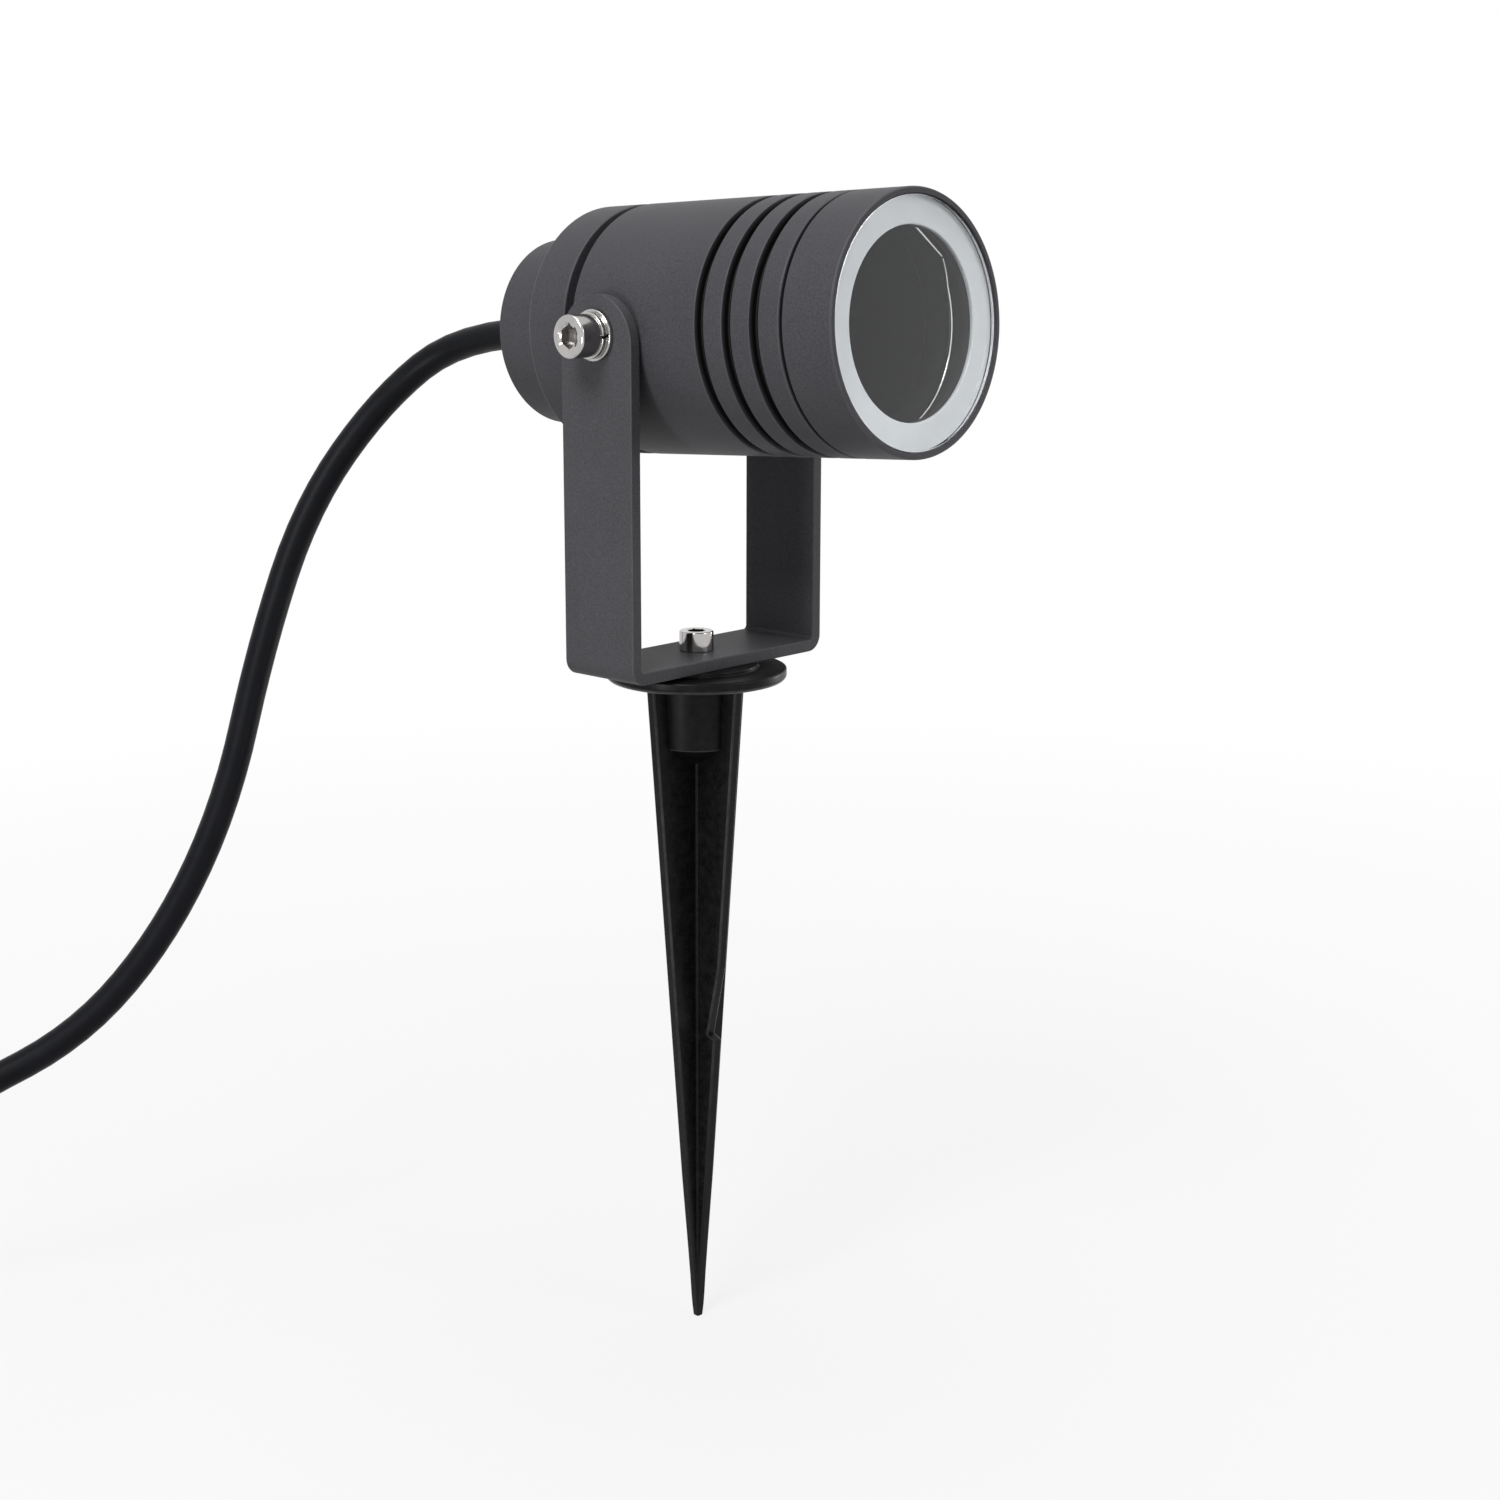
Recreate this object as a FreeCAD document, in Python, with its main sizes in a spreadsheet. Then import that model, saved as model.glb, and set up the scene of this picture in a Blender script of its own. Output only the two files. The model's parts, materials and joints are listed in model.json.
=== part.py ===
"""Garden spike spotlight: a tilting cylindrical lamp head in a U-bracket on a plastic ground spike.

Frame: millimetres, +Z up, the lamp shines towards -Y and the cable leaves towards +Y.
The origin is the tip of the spike, on the spike's axis.
"""
import FreeCAD, Part
import math
import os
import Sketcher
from FreeCAD import Placement, Rotation, Vector

doc = FreeCAD.newDocument("garden_spike_spotlight")
sheet = doc.addObject("Spreadsheet::Sheet", "sizes")

UP = Vector(0, 0, 1)
HERE = Placement()


# ---------------------------------------------------------------- sizes

class Size:
    """A length or angle: its number, and the formula over the sheet's cells that gives it."""

    def __init__(self, value, formula):
        self.value = float(value)
        self.formula = formula

    def joined(self, sign, other, value, swapped=False):
        """The formula of self and other, with the sign between them."""
        text = other.formula if isinstance(other, Size) else repr(float(other))
        left, right = (text, self.formula) if swapped else (self.formula, text)
        return Size(value, "(%s %s %s)" % (left, sign, right))

    def __float__(self):
        return self.value

    def __add__(self, other):
        return self.joined("+", other, self.value + float(other))

    def __radd__(self, other):
        return self.joined("+", other, float(other) + self.value, swapped=True)

    def __sub__(self, other):
        return self.joined("-", other, self.value - float(other))

    def __rsub__(self, other):
        return self.joined("-", other, float(other) - self.value, swapped=True)

    def __mul__(self, other):
        return self.joined("*", other, self.value * float(other))

    def __rmul__(self, other):
        return self.joined("*", other, float(other) * self.value, swapped=True)

    def __truediv__(self, other):
        return self.joined("/", other, self.value / float(other))

    def __neg__(self):
        return self.joined("*", -1, -self.value)


def size(alias, number):
    """Write one driving size into the sheet and return it."""
    size.row += 1
    sheet.set("A%d" % size.row, alias)
    sheet.set("B%d" % size.row, repr(float(number)))
    sheet.setAlias("B%d" % size.row, alias)
    return Size(number, "sizes." + alias)


size.row = 0

# The ground spike.
spike_length = size("spike_length", 171.2)            # tip to the flange's underside
rib_reach = size("rib_reach", 15.6)                   # ribs under the flange, from the axis
rib_tip_reach = size("rib_tip_reach", 0.9)
rib_thickness = size("rib_thickness", 2.7)
notch_height = size("notch_height", 78.3)             # the barb's step, above the tip
notch_length = size("notch_length", 20.0)
notch_depth = size("notch_depth", 2.6)
flange_radius = size("flange_radius", 22.4)
flange_thickness = size("flange_thickness", 3.0)
flange_edge = size("flange_edge", 1.3)                # rounding of the disc's rim
hub_radius = size("hub_radius", 15.4)
hub_height = size("hub_height", 1.1)
boss_radius = size("boss_radius", 10.6)                # at the flange
boss_end_radius = size("boss_end_radius", 9.9)
boss_length = size("boss_length", 16.4)
boss_cone = size("boss_cone", 5.0)
rib_turn = size("rib_turn", 3.9)                        # degrees, clockwise from above
boss_tip_radius = size("boss_tip_radius", 2.2)
notch_step = size("notch_step", 1.0)                  # height of the barb's upper face
insert_radius = size("insert_radius", 3.6)
insert_length = size("insert_length", 12.0)
insert_drop = size("insert_drop", 0.3)                # insert's top below the hub's face
insert_room = size("insert_room", 2.5)                # bore below the insert

# The U-bracket.
leg_clearance = size("leg_clearance", 0.5)            # between each leg and the barrel
strip_thickness = size("strip_thickness", 3.0)
strip_width = size("strip_width", 23.0)
bend_radius = size("bend_radius", 1.0)                # inside of the two bends
leg_height = size("leg_height", 81.5)                 # underside of the base to the pivot
leg_round_drop = size("leg_round_drop", 2.2)          # pivot to the centre of the leg's round end

# Screws.
side_screw_radius = size("side_screw_radius", 3.0)
side_screw_length = size("side_screw_length", 12.0)
side_cap_radius = size("side_cap_radius", 5.0)
side_cap_height = size("side_cap_height", 6.0)
side_hex = size("side_hex", 5.0)
side_hex_depth = size("side_hex_depth", 3.3)
flat_washer_radius = size("flat_washer_radius", 6.0)
flat_washer_thickness = size("flat_washer_thickness", 1.2)
spring_washer_radius = size("spring_washer_radius", 5.4)
spring_washer_thickness = size("spring_washer_thickness", 1.5)
spring_washer_gap = size("spring_washer_gap", 8.0)    # degrees left open at the split
base_screw_radius = size("base_screw_radius", 2.5)
base_screw_length = size("base_screw_length", 14.0)
base_cap_radius = size("base_cap_radius", 4.25)
base_cap_height = size("base_cap_height", 5.0)
base_hex = size("base_hex", 4.0)
base_hex_depth = size("base_hex_depth", 2.8)
running_clearance = size("running_clearance", 0.08)   # a screw in its hole, on the radius
seat_clearance = size("seat_clearance", 0.02)         # pieces pressed or seated in each other

# The lamp head. Stations run along its axis from the back of the end cap to the front rim.
head_tilt = size("head_tilt", 3.3)                    # degrees above level
head_radius = size("head_radius", 30.0)
cap_step = size("cap_step", 7.2)                      # head's side to the end cap's side
cap_length = size("cap_length", 17.6)
cover_ring = size("cover_ring", 12.4)                 # length of the rear cover's wide part
rear_groove = size("rear_groove", 2.9)
barrel_length = size("barrel_length", 64.9)
pivot_setback = size("pivot_setback", 11.4)           # barrel's back to the tilt axis
front_gap = size("front_gap", 1.0)
bezel_length = size("bezel_length", 14.1)
fin_margin = size("fin_margin", 6.0)                  # last fin groove to the barrel's front
fin_groove_width = size("fin_groove_width", 2.7)
fin_groove_pitch = size("fin_groove_pitch", 8.3)
fin_groove_depth = size("fin_groove_depth", 2.4)
edge_break = size("edge_break", 0.5)                  # small chamfers of the turned edges
barrel_wall = size("barrel_wall", 4.4)
spot_face_depth = size("spot_face_depth", 0.4)
spot_face_room = size("spot_face_room", 0.3)          # round the washer
neck_depth = size("neck_depth", 2.75)                 # wall outside the two screwed spigots
thread_clearance = size("thread_clearance", 0.05)
rear_spigot_length = size("rear_spigot_length", 8.0)
rear_wall = size("rear_wall", 4.0)
cap_wall = size("cap_wall", 3.3)

# The front bezel and what it holds.
bezel_spigot_length = size("bezel_spigot_length", 5.5)
rim_wall = size("rim_wall", 1.5)                      # outside the glass
glass_thickness = size("glass_thickness", 2.5)
glass_recess = size("glass_recess", 0.4)
glass_clearance = size("glass_clearance", 0.15)
gasket_thickness = size("gasket_thickness", 1.0)
gasket_width = size("gasket_width", 6.55)
shelf_thickness = size("shelf_thickness", 2.0)
wire_ring_setback = size("wire_ring_setback", 2.4)    # from the bezel's back edge
wire_ring_bite = size("wire_ring_bite", 0.2)          # its depth in the bezel's wall
wire_ring_thickness = size("wire_ring_thickness", 1.2)
wire_ring_opening = size("wire_ring_opening", 4.0)    # degrees between its two ends
wire_ring_turn = size("wire_ring_turn", 36.0)         # degrees from the side to the opening
wire_ring_tab = size("wire_ring_tab", 2.2)            # its ends, turned forwards
wire_ring_lean = size("wire_ring_lean", 30.0)         # degrees that they lean off the wall
o_ring_thickness = size("o_ring_thickness", 1.6)

# The lampholder and the wiring.
holder_room = size("holder_room", 2.25)               # between it and the strap screws
holder_length = size("holder_length", 21.0)
holder_land = size("holder_land", 1.17)               # outside its mounting screws
post_length = size("post_length", 5.7)                # posts that carry the strap
pin_spacing = size("pin_spacing", 10.0)               # between the lamp's two pins
pin_hole_radius = size("pin_hole_radius", 3.2)
pin_hole_depth = size("pin_hole_depth", 11.0)
contact_radius = size("contact_radius", 2.3)
contact_thickness = size("contact_thickness", 0.6)
strap_thickness = size("strap_thickness", 1.0)
strap_width = size("strap_width", 9.0)
strap_arm = size("strap_arm", 6.7)                    # half width of its two short arms
strap_margin = size("strap_margin", 1.75)             # its end to the cover's wall
strap_bore = size("strap_bore", 5.0)                  # radius of the hole for the leads
post_radius = size("post_radius", 3.2)
small_screw_radius = size("small_screw_radius", 1.5)
small_cap_radius = size("small_cap_radius", 2.75)
small_cap_height = size("small_cap_height", 1.8)
small_slot_width = size("small_slot_width", 0.7)
terminal_width = size("terminal_width", 20.0)
terminal_depth = size("terminal_depth", 9.0)
terminal_height = size("terminal_height", 10.0)
terminal_gap = size("terminal_gap", 2.0)              # gland to terminal block
terminal_pitch = size("terminal_pitch", 6.0)
clamp_screw_radius = size("clamp_screw_radius", 1.2)
clamp_screw_rise = size("clamp_screw_rise", 0.8)
wire_radius = size("wire_radius", 1.1)
lead_spacing = size("lead_spacing", 6.0)              # between the lampholder's two leads
tag_radius = size("tag_radius", 3.0)
tag_thickness = size("tag_thickness", 0.5)
tag_reach = size("tag_reach", 9.0)                    # earth tag's lug, from its screw
earth_wire_bend = size("earth_wire_bend", 4.0)

# The gland and the cable.
cable_radius = size("cable_radius", 3.8)
gland_thread_radius = size("gland_thread_radius", 6.0)
gland_hex = size("gland_hex", 15.0)                   # across flats
gland_collar = size("gland_collar", 4.0)
gland_nut_length = size("gland_nut_length", 8.0)
gland_stem = size("gland_stem", 10.0)
gland_nut_wall = size("gland_nut_wall", 1.2)          # round the cable, at the mouth
gland_dome = size("gland_dome", 2.0)                  # rounding of the nut's mouth
gland_cone = size("gland_cone", 1.4)                  # slope inside the nut, on its length
cup_length = size("cup_length", 4.8)
seal_wall = size("seal_wall", 1.2)
seal_length = size("seal_length", 5.2)
lock_nut_thickness = size("lock_nut_thickness", 3.0)
coil_radius = size("coil_radius", 45.5)               # start of the outer loop
coil_pitch = size("coil_pitch", 8.1)                  # one loop to the next, and layer to layer
coil_lift = size("coil_lift", 1.2)                    # room for the tie under the coil
tie_thickness = size("tie_thickness", 0.7)
tie_width = size("tie_width", 5.0)
tie_angle = size("tie_angle", 20.0)                   # where the tie sits round the coil
tie_clearance = size("tie_clearance", 0.4)
core_length = size("core_length", 30.0)
ferrule_length = size("ferrule_length", 10.0)
ferrule_radius = size("ferrule_radius", 0.8)

doc.recompute()

QUARTERS_PER_TURN = 4
COIL_QUARTERS = 18                                    # four and a half loops in two layers
FIN_GROOVES = 3
CLIMB_EASE = 1.4                                      # steepest part of the climb over its mean
RUN_SHARE = 0.45                                      # of the shorter run, taken by an arc

# Places worked out from the sizes.
hub_top = spike_length + flange_thickness + hub_height
base_top = hub_top + strip_thickness
pivot_height = hub_top + leg_height
leg_inner = head_radius + leg_clearance
leg_outer = leg_inner + strip_thickness
cap_radius = head_radius - cap_step
bore_radius = head_radius - barrel_wall
spigot_radius = head_radius - neck_depth
rear_face = cap_length + cover_ring
barrel_rear = rear_face + rear_groove
pivot_station = barrel_rear + pivot_setback
barrel_front = barrel_rear + barrel_length
first_fin_groove = barrel_front - fin_margin - fin_groove_width - fin_groove_pitch * (FIN_GROOVES - 1)
bezel_rear = barrel_front + front_gap
head_length = bezel_rear + bezel_length
glass_radius = head_radius - rim_wall - glass_clearance
glass_back = head_length - glass_recess - glass_thickness
gasket_inner = glass_radius - gasket_width
gasket_back = glass_back - gasket_thickness
shelf_back = gasket_back - shelf_thickness
wire_ring_station = bezel_rear + wire_ring_setback
wire_ring_radius = bore_radius + wire_ring_bite - wire_ring_thickness / 2
spot_face_radius = flat_washer_radius + spot_face_room
holder_seat = cap_length + cap_wall + post_length + strap_thickness
strap_screw_offset = spigot_radius - cap_wall - strap_margin - post_radius
holder_radius = strap_screw_offset - small_cap_radius - holder_room
holder_screw_offset = holder_radius - small_cap_radius - running_clearance - holder_land
terminal_station = gland_stem + terminal_gap
gland_mouth = gland_collar + gland_nut_length         # behind this the cable is free
rear_o_ring = barrel_rear + o_ring_thickness * 2
front_o_ring = (bezel_rear + barrel_front - o_ring_thickness / 2) / 2

pivot = Vector(0, 0, float(pivot_height))
tilt = math.radians(float(head_tilt))
AIM = Vector(0, -math.cos(tilt), math.sin(tilt))      # the way the lamp shines


def head_place(station=0.0, across=0.0, height=0.0):
    """A place in the head: its local Z runs forwards along the axis, X across and Y up."""
    turn = Rotation(Vector(1, 0, 0), 90 - float(head_tilt))
    local = Vector(float(across), float(height), float(station) - float(pivot_station))
    return Placement(pivot + turn.multVec(local), turn)


def side_place(side, distance):
    """A place on the pivot axis, its local Z pointing out of the head on the given side."""
    turn = Rotation(UP, Vector(side, 0, 0))
    return Placement(pivot + Vector(side * float(distance), 0, 0), turn)


# ---------------------------------------------------------------- ways of making a piece

def new_body(label):
    """An empty body with its label."""
    body = doc.addObject("PartDesign::Body", label)
    body.Label = label
    return body


def sketch_on(body, role, name):
    """A sketch on one of the body's own origin planes."""
    plane = [f for f in body.Origin.OriginFeatures if f.Role == role][0]
    sketch = body.newObject("Sketcher::SketchObject", name)
    sketch.AttachmentSupport = [(plane, "")]
    sketch.MapMode = "FlatFace"
    return sketch


def bind(sketch, kind, geometry, point, amount):
    """Fix one coordinate of a point: on the axis where it is a plain nought, else by a formula."""
    if not isinstance(amount, Size):
        axis = -2 if kind == "DistanceX" else -1
        sketch.addConstraint(Sketcher.Constraint("PointOnObject", geometry, point, axis))
        return
    number = sketch.addConstraint(
        Sketcher.Constraint(kind, -1, 1, geometry, point, float(amount)))
    sketch.setExpression("Constraints[%d]" % number, amount.formula)


def arc_between(start, end, radius):
    """A circular arc from start to end, turning left for a positive radius, under a half turn."""
    chord = end - start
    reach = abs(float(radius))
    side = 1 if float(radius) > 0 else -1
    to_left = Vector(-chord.y, chord.x, 0).normalize()
    middle = (start + end) * 0.5
    offset = math.sqrt(max(reach ** 2 - (chord.Length / 2) ** 2, 0))
    bulge = middle - to_left * (side * (reach - offset))
    return Part.Arc(start, bulge, end)


def draw(sketch, corners):
    """Draw a closed outline. A corner is (x, y), or (x, y, radius) where an arc leaves it."""
    spots = [Vector(float(c[0]), float(c[1]), 0) for c in corners]
    count = len(corners)
    ends = []
    for i, corner in enumerate(corners):
        start, end = spots[i], spots[(i + 1) % count]
        if len(corner) == 3:
            arc = arc_between(start, end, corner[2])
            geometry = sketch.addGeometry(arc, False)
            forwards = float(corner[2]) > 0
            ends.append((geometry, 1, 2) if forwards else (geometry, 2, 1))
        else:
            geometry = sketch.addGeometry(Part.LineSegment(start, end), False)
            ends.append((geometry, 1, 2))
    for i in range(count):
        here, after = ends[i], ends[(i + 1) % count]
        sketch.addConstraint(
            Sketcher.Constraint("Coincident", here[0], here[2], after[0], after[1]))
    for i, corner in enumerate(corners):
        geometry, start, _ = ends[i]
        bind(sketch, "DistanceX", geometry, start, corner[0])
        bind(sketch, "DistanceY", geometry, start, corner[1])
        if len(corner) == 3:
            radius = corner[2] if float(corner[2]) > 0 else -corner[2]
            number = sketch.addConstraint(
                Sketcher.Constraint("Radius", geometry, float(radius)))
            sketch.setExpression("Constraints[%d]" % number, radius.formula)
    return sketch


def turned(label, outline, place=HERE, angle=360):
    """A turned piece: its half section, corners as (radius, station), spun about local Z."""
    body = new_body(label)
    section = draw(sketch_on(body, "XZ_Plane", label + "_section"), outline)
    spin = body.newObject("PartDesign::Revolution", label + "_turned")
    spin.Profile = section
    spin.ReferenceAxis = (section, ["V_Axis"])
    spin.Angle = float(angle)
    if isinstance(angle, Size):
        spin.setExpression("Angle", angle.formula)
    body.Placement = place
    doc.recompute()
    return body


def tube_outline(inner, outer, low, high):
    """The half section of a plain ring."""
    return [(inner, low), (outer, low), (outer, high), (inner, high)]


def hexagon(across_flats):
    """The six corners of a hexagon with two corners on the local X axis."""
    reach = across_flats / math.sqrt(3)
    return [(reach, 0), (reach / 2, across_flats / 2), (-(reach / 2), across_flats / 2),
            (-reach, 0), (-(reach / 2), -(across_flats / 2)), (reach / 2, -(across_flats / 2))]


def circle(sketch, x, y, radius):
    """A circle in a sketch, its centre and radius bound to the sizes."""
    geometry = sketch.addGeometry(
        Part.Circle(Vector(float(x), float(y), 0), UP, float(radius)), False)
    bind(sketch, "DistanceX", geometry, 3, x)
    bind(sketch, "DistanceY", geometry, 3, y)
    number = sketch.addConstraint(Sketcher.Constraint("Radius", geometry, float(radius)))
    sketch.setExpression("Constraints[%d]" % number, radius.formula)


def pocket(body, sketch, depth, upwards=False, both_ways=False):
    """Cut a sketch into the body, and make sure that it took something away."""
    doc.recompute()
    before = body.Shape.Volume
    cut = body.newObject("PartDesign::Pocket", sketch.Name + "_cut")
    cut.Profile = sketch
    cut.Length = float(depth)
    cut.setExpression("Length", depth.formula)
    cut.Reversed = upwards
    cut.Midplane = both_ways
    doc.recompute()
    if not body.Shape.Volume < before:
        raise RuntimeError(body.Label + ": a pocket cut nothing")
    return cut


def raised_sketch(body, name, height):
    """A sketch across the local Z axis at a height."""
    sketch = sketch_on(body, "XY_Plane", name)
    sketch.AttachmentOffset = Placement(Vector(0, 0, float(height)), Rotation())
    sketch.setExpression("AttachmentOffset.Base.z", height.formula)
    return sketch


def round_edges(body, name, radius, wanted):
    """Round the circular edges for which wanted(radius, station) holds."""
    doc.recompute()
    base = body.Tip
    names = []
    for number, edge in enumerate(base.Shape.Edges, 1):
        if isinstance(edge.Curve, Part.Circle):
            if wanted(edge.Curve.Radius, edge.Curve.Center.z):
                names.append("Edge%d" % number)
    fillet = body.newObject("PartDesign::Fillet", name)
    fillet.Base = (base, names)
    fillet.Radius = float(radius)
    fillet.setExpression("Radius", radius.formula)
    doc.recompute()
    return fillet


def polar(angle):
    """A unit vector at an angle round local Z."""
    return Vector(math.cos(angle), math.sin(angle), 0)


def near(one, other):
    """True where two lengths agree."""
    return abs(float(one) - float(other)) < 1e-4


def cap_screw(label, shank, length, cap, height, across_flats, socket_depth, place):
    """A socket head cap screw: local Z out of the head, nought at the head's underside."""
    body = turned(label, [
        (0, -length), (shank - edge_break, -length), (shank, -length + edge_break),
        (shank, 0), (cap, 0), (cap, height - edge_break),
        (cap - edge_break, height), (0, height)], place)
    socket = raised_sketch(body, label + "_socket", height)
    draw(socket, hexagon(across_flats))
    pocket(body, socket, socket_depth)
    return body


def joined_path(points):
    """Straight runs through the points, joined by tangent arcs as large as the runs allow."""
    edges = []
    radii = []
    start = points[0]
    for before, corner, after in zip(points, points[1:], points[2:]):
        into, out = (corner - before), (after - corner)
        turn = into.getAngle(out)
        reach = RUN_SHARE * min(into.Length, out.Length)
        radii.append(reach / math.tan(turn / 2))
        into, out = Vector(into).normalize(), Vector(out).normalize()
        first, last = corner - into * reach, corner + out * reach
        inwards = (out - into).normalize()
        to_centre = radii[-1] / math.cos(turn / 2)
        middle = corner + inwards * (to_centre - radii[-1])
        edges.append(Part.LineSegment(start, first).toShape())
        edges.append(Part.Arc(first, middle, last).toShape())
        start = last
    edges.append(Part.LineSegment(start, points[-1]).toShape())
    return Part.Wire(edges), radii


def pipe(path, radius, way):
    """A solid round tube along a wire that sets off in the given direction."""
    start = path.Edges[0].valueAt(path.Edges[0].FirstParameter)
    ring = Part.Wire([Part.Circle(start, way, float(radius)).toShape()])
    return path.makePipeShell([ring], True, False)


def group(label, shapes, place=HERE):
    """One node that holds the given solids."""
    piece = doc.addObject("Part::Feature", label)
    piece.Label = label
    piece.Shape = Part.makeCompound(shapes)
    piece.Placement = place
    return piece


# ---------------------------------------------------------------- ground spike

def make_spike():
    """The moulded spike: disc flange, hub, boss and four tapering ribs with two barbs."""
    under = spike_length
    body = turned("ground_spike", [
        (0, under - boss_length - boss_cone), (boss_tip_radius, under - boss_length - boss_cone),
        (boss_end_radius, under - boss_length), (boss_radius, under), (flange_radius, under),
        (flange_radius, under + flange_thickness), (hub_radius, under + flange_thickness),
        (hub_radius, hub_top), (0, hub_top)])
    ribs = {
        "XZ_Plane": [(-rib_tip_reach, 0), (rib_tip_reach, 0),
                     (rib_reach, under), (-rib_reach, under)],
        "YZ_Plane": notched_rib(under),
    }
    for role, outline in ribs.items():
        sketch = draw(sketch_on(body, role, "ribs_" + role), outline)
        pad = body.newObject("PartDesign::Pad", "pad_" + role)
        pad.Profile = sketch
        pad.Length = float(rib_thickness)
        pad.setExpression("Length", rib_thickness.formula)
        pad.Midplane = True
        doc.recompute()
    bore = raised_sketch(body, "insert_bore", hub_top)
    circle(bore, 0, 0, insert_radius + seat_clearance)
    pocket(body, bore, insert_drop + insert_length + insert_room)
    round_edges(body, "rim_rounding", flange_edge,
                lambda radius, station: near(radius, flange_radius))
    body.Placement = Placement(Vector(), Rotation(UP, -float(rib_turn)))
    return body


def notched_rib(under):
    """Outline of the rib pair that has a barb on each edge."""
    slope = (rib_reach - rib_tip_reach) / under
    step = rib_tip_reach + slope * notch_height
    above = rib_tip_reach + slope * (notch_height + notch_length)
    inner = step - notch_depth
    one_side = [(rib_tip_reach, 0), (step, notch_height), (inner, notch_height + notch_step),
                (above, notch_height + notch_length), (rib_reach, under)]
    other_side = [(-x, z) for x, z in reversed(one_side)]
    return one_side + other_side


def make_spike_insert():
    """The threaded brass insert in the hub."""
    high = hub_top - insert_drop
    return turned("spike_insert", tube_outline(
        base_screw_radius + running_clearance, insert_radius, high - insert_length, high))


# ---------------------------------------------------------------- bracket

def make_bracket():
    """The U-bracket: one bent strip with round leg ends, two side holes and a base hole."""
    body = new_body("u_bracket")
    outer_bend = bend_radius + strip_thickness
    low, high = hub_top, pivot_height + strip_width
    profile = draw(sketch_on(body, "XZ_Plane", "bracket_section"), [
        (-(leg_outer - outer_bend), low), (leg_outer - outer_bend, low, outer_bend),
        (leg_outer, low + outer_bend), (leg_outer, high), (leg_inner, high),
        (leg_inner, base_top + bend_radius, -bend_radius), (leg_inner - bend_radius, base_top),
        (-(leg_inner - bend_radius), base_top, -bend_radius), (-leg_inner, base_top + bend_radius),
        (-leg_inner, high), (-leg_outer, high),
        (-leg_outer, low + outer_bend, outer_bend)])
    pad = body.newObject("PartDesign::Pad", "bent_strip")
    pad.Profile = profile
    pad.Length = float(strip_width)
    pad.setExpression("Length", strip_width.formula)
    pad.Midplane = True
    centre = pivot_height - leg_round_drop
    half = strip_width / 2
    spare = strip_thickness
    ends = draw(sketch_on(body, "YZ_Plane", "round_ends"), [
        (-(half + spare), centre), (-half, centre, -half), (0, centre + half, -half),
        (half, centre), (half + spare, centre),
        (half + spare, high + spare), (-(half + spare), high + spare)])
    pocket(body, ends, leg_inner * 4, both_ways=True)
    holes = sketch_on(body, "YZ_Plane", "side_holes")
    circle(holes, 0, pivot_height, side_screw_radius + running_clearance)
    pocket(body, holes, leg_inner * 4, both_ways=True)
    hole = raised_sketch(body, "base_hole", base_top)
    circle(hole, 0, 0, base_screw_radius + running_clearance)
    pocket(body, hole, strip_thickness * 1.5)
    return body


# ---------------------------------------------------------------- screws and washers

def make_base_screw():
    """The screw that holds the bracket down and that it swivels on."""
    return cap_screw("base_screw", base_screw_radius, base_screw_length, base_cap_radius,
                     base_cap_height, base_hex, base_hex_depth,
                     Placement(Vector(0, 0, float(base_top)), Rotation()))


def make_side_screw(label, side):
    """One of the two clamp screws through the bracket's legs into the head."""
    seat = leg_outer + flat_washer_thickness + spring_washer_thickness
    return cap_screw(label, side_screw_radius, side_screw_length, side_cap_radius,
                     side_cap_height, side_hex, side_hex_depth, side_place(side, seat))


def make_flat_washers():
    """The two flat washers against the bracket's legs."""
    rings = []
    hole = side_screw_radius + running_clearance
    for side in (-1, 1):
        disc = Part.makeCylinder(float(flat_washer_radius), float(flat_washer_thickness))
        gap = Part.makeCylinder(float(hole), float(flat_washer_thickness))
        ring = disc.cut(gap)
        ring.Placement = side_place(side, leg_outer)
        rings.append(ring)
    return group("flat_washers", rings)


def make_friction_washers():
    """The two fibre washers between the legs and the spot faces on the barrel."""
    rings = []
    hole = side_screw_radius + running_clearance
    seat = head_radius - spot_face_depth
    thickness = float(leg_inner) - float(seat)
    for side in (-1, 1):
        disc = Part.makeCylinder(float(flat_washer_radius), thickness)
        ring = disc.cut(Part.makeCylinder(float(hole), thickness))
        ring.Placement = side_place(side, seat)
        rings.append(ring)
    return group("friction_washers", rings)


def make_spring_washer(label, side):
    """A split spring washer under a side screw's head, its split towards the front."""
    place = side_place(side, leg_outer + flat_washer_thickness)
    front = place.Rotation.inverted().multVec(Vector(0, -1, 0))
    turn = math.degrees(math.atan2(front.y, front.x)) + float(spring_washer_gap) / 2
    place.Rotation = place.Rotation.multiply(Rotation(UP, turn))
    ring = tube_outline(side_screw_radius + running_clearance, spring_washer_radius,
                        0, spring_washer_thickness)
    return turned(label, ring, place, 360 - spring_washer_gap)


# ---------------------------------------------------------------- lamp head

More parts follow.
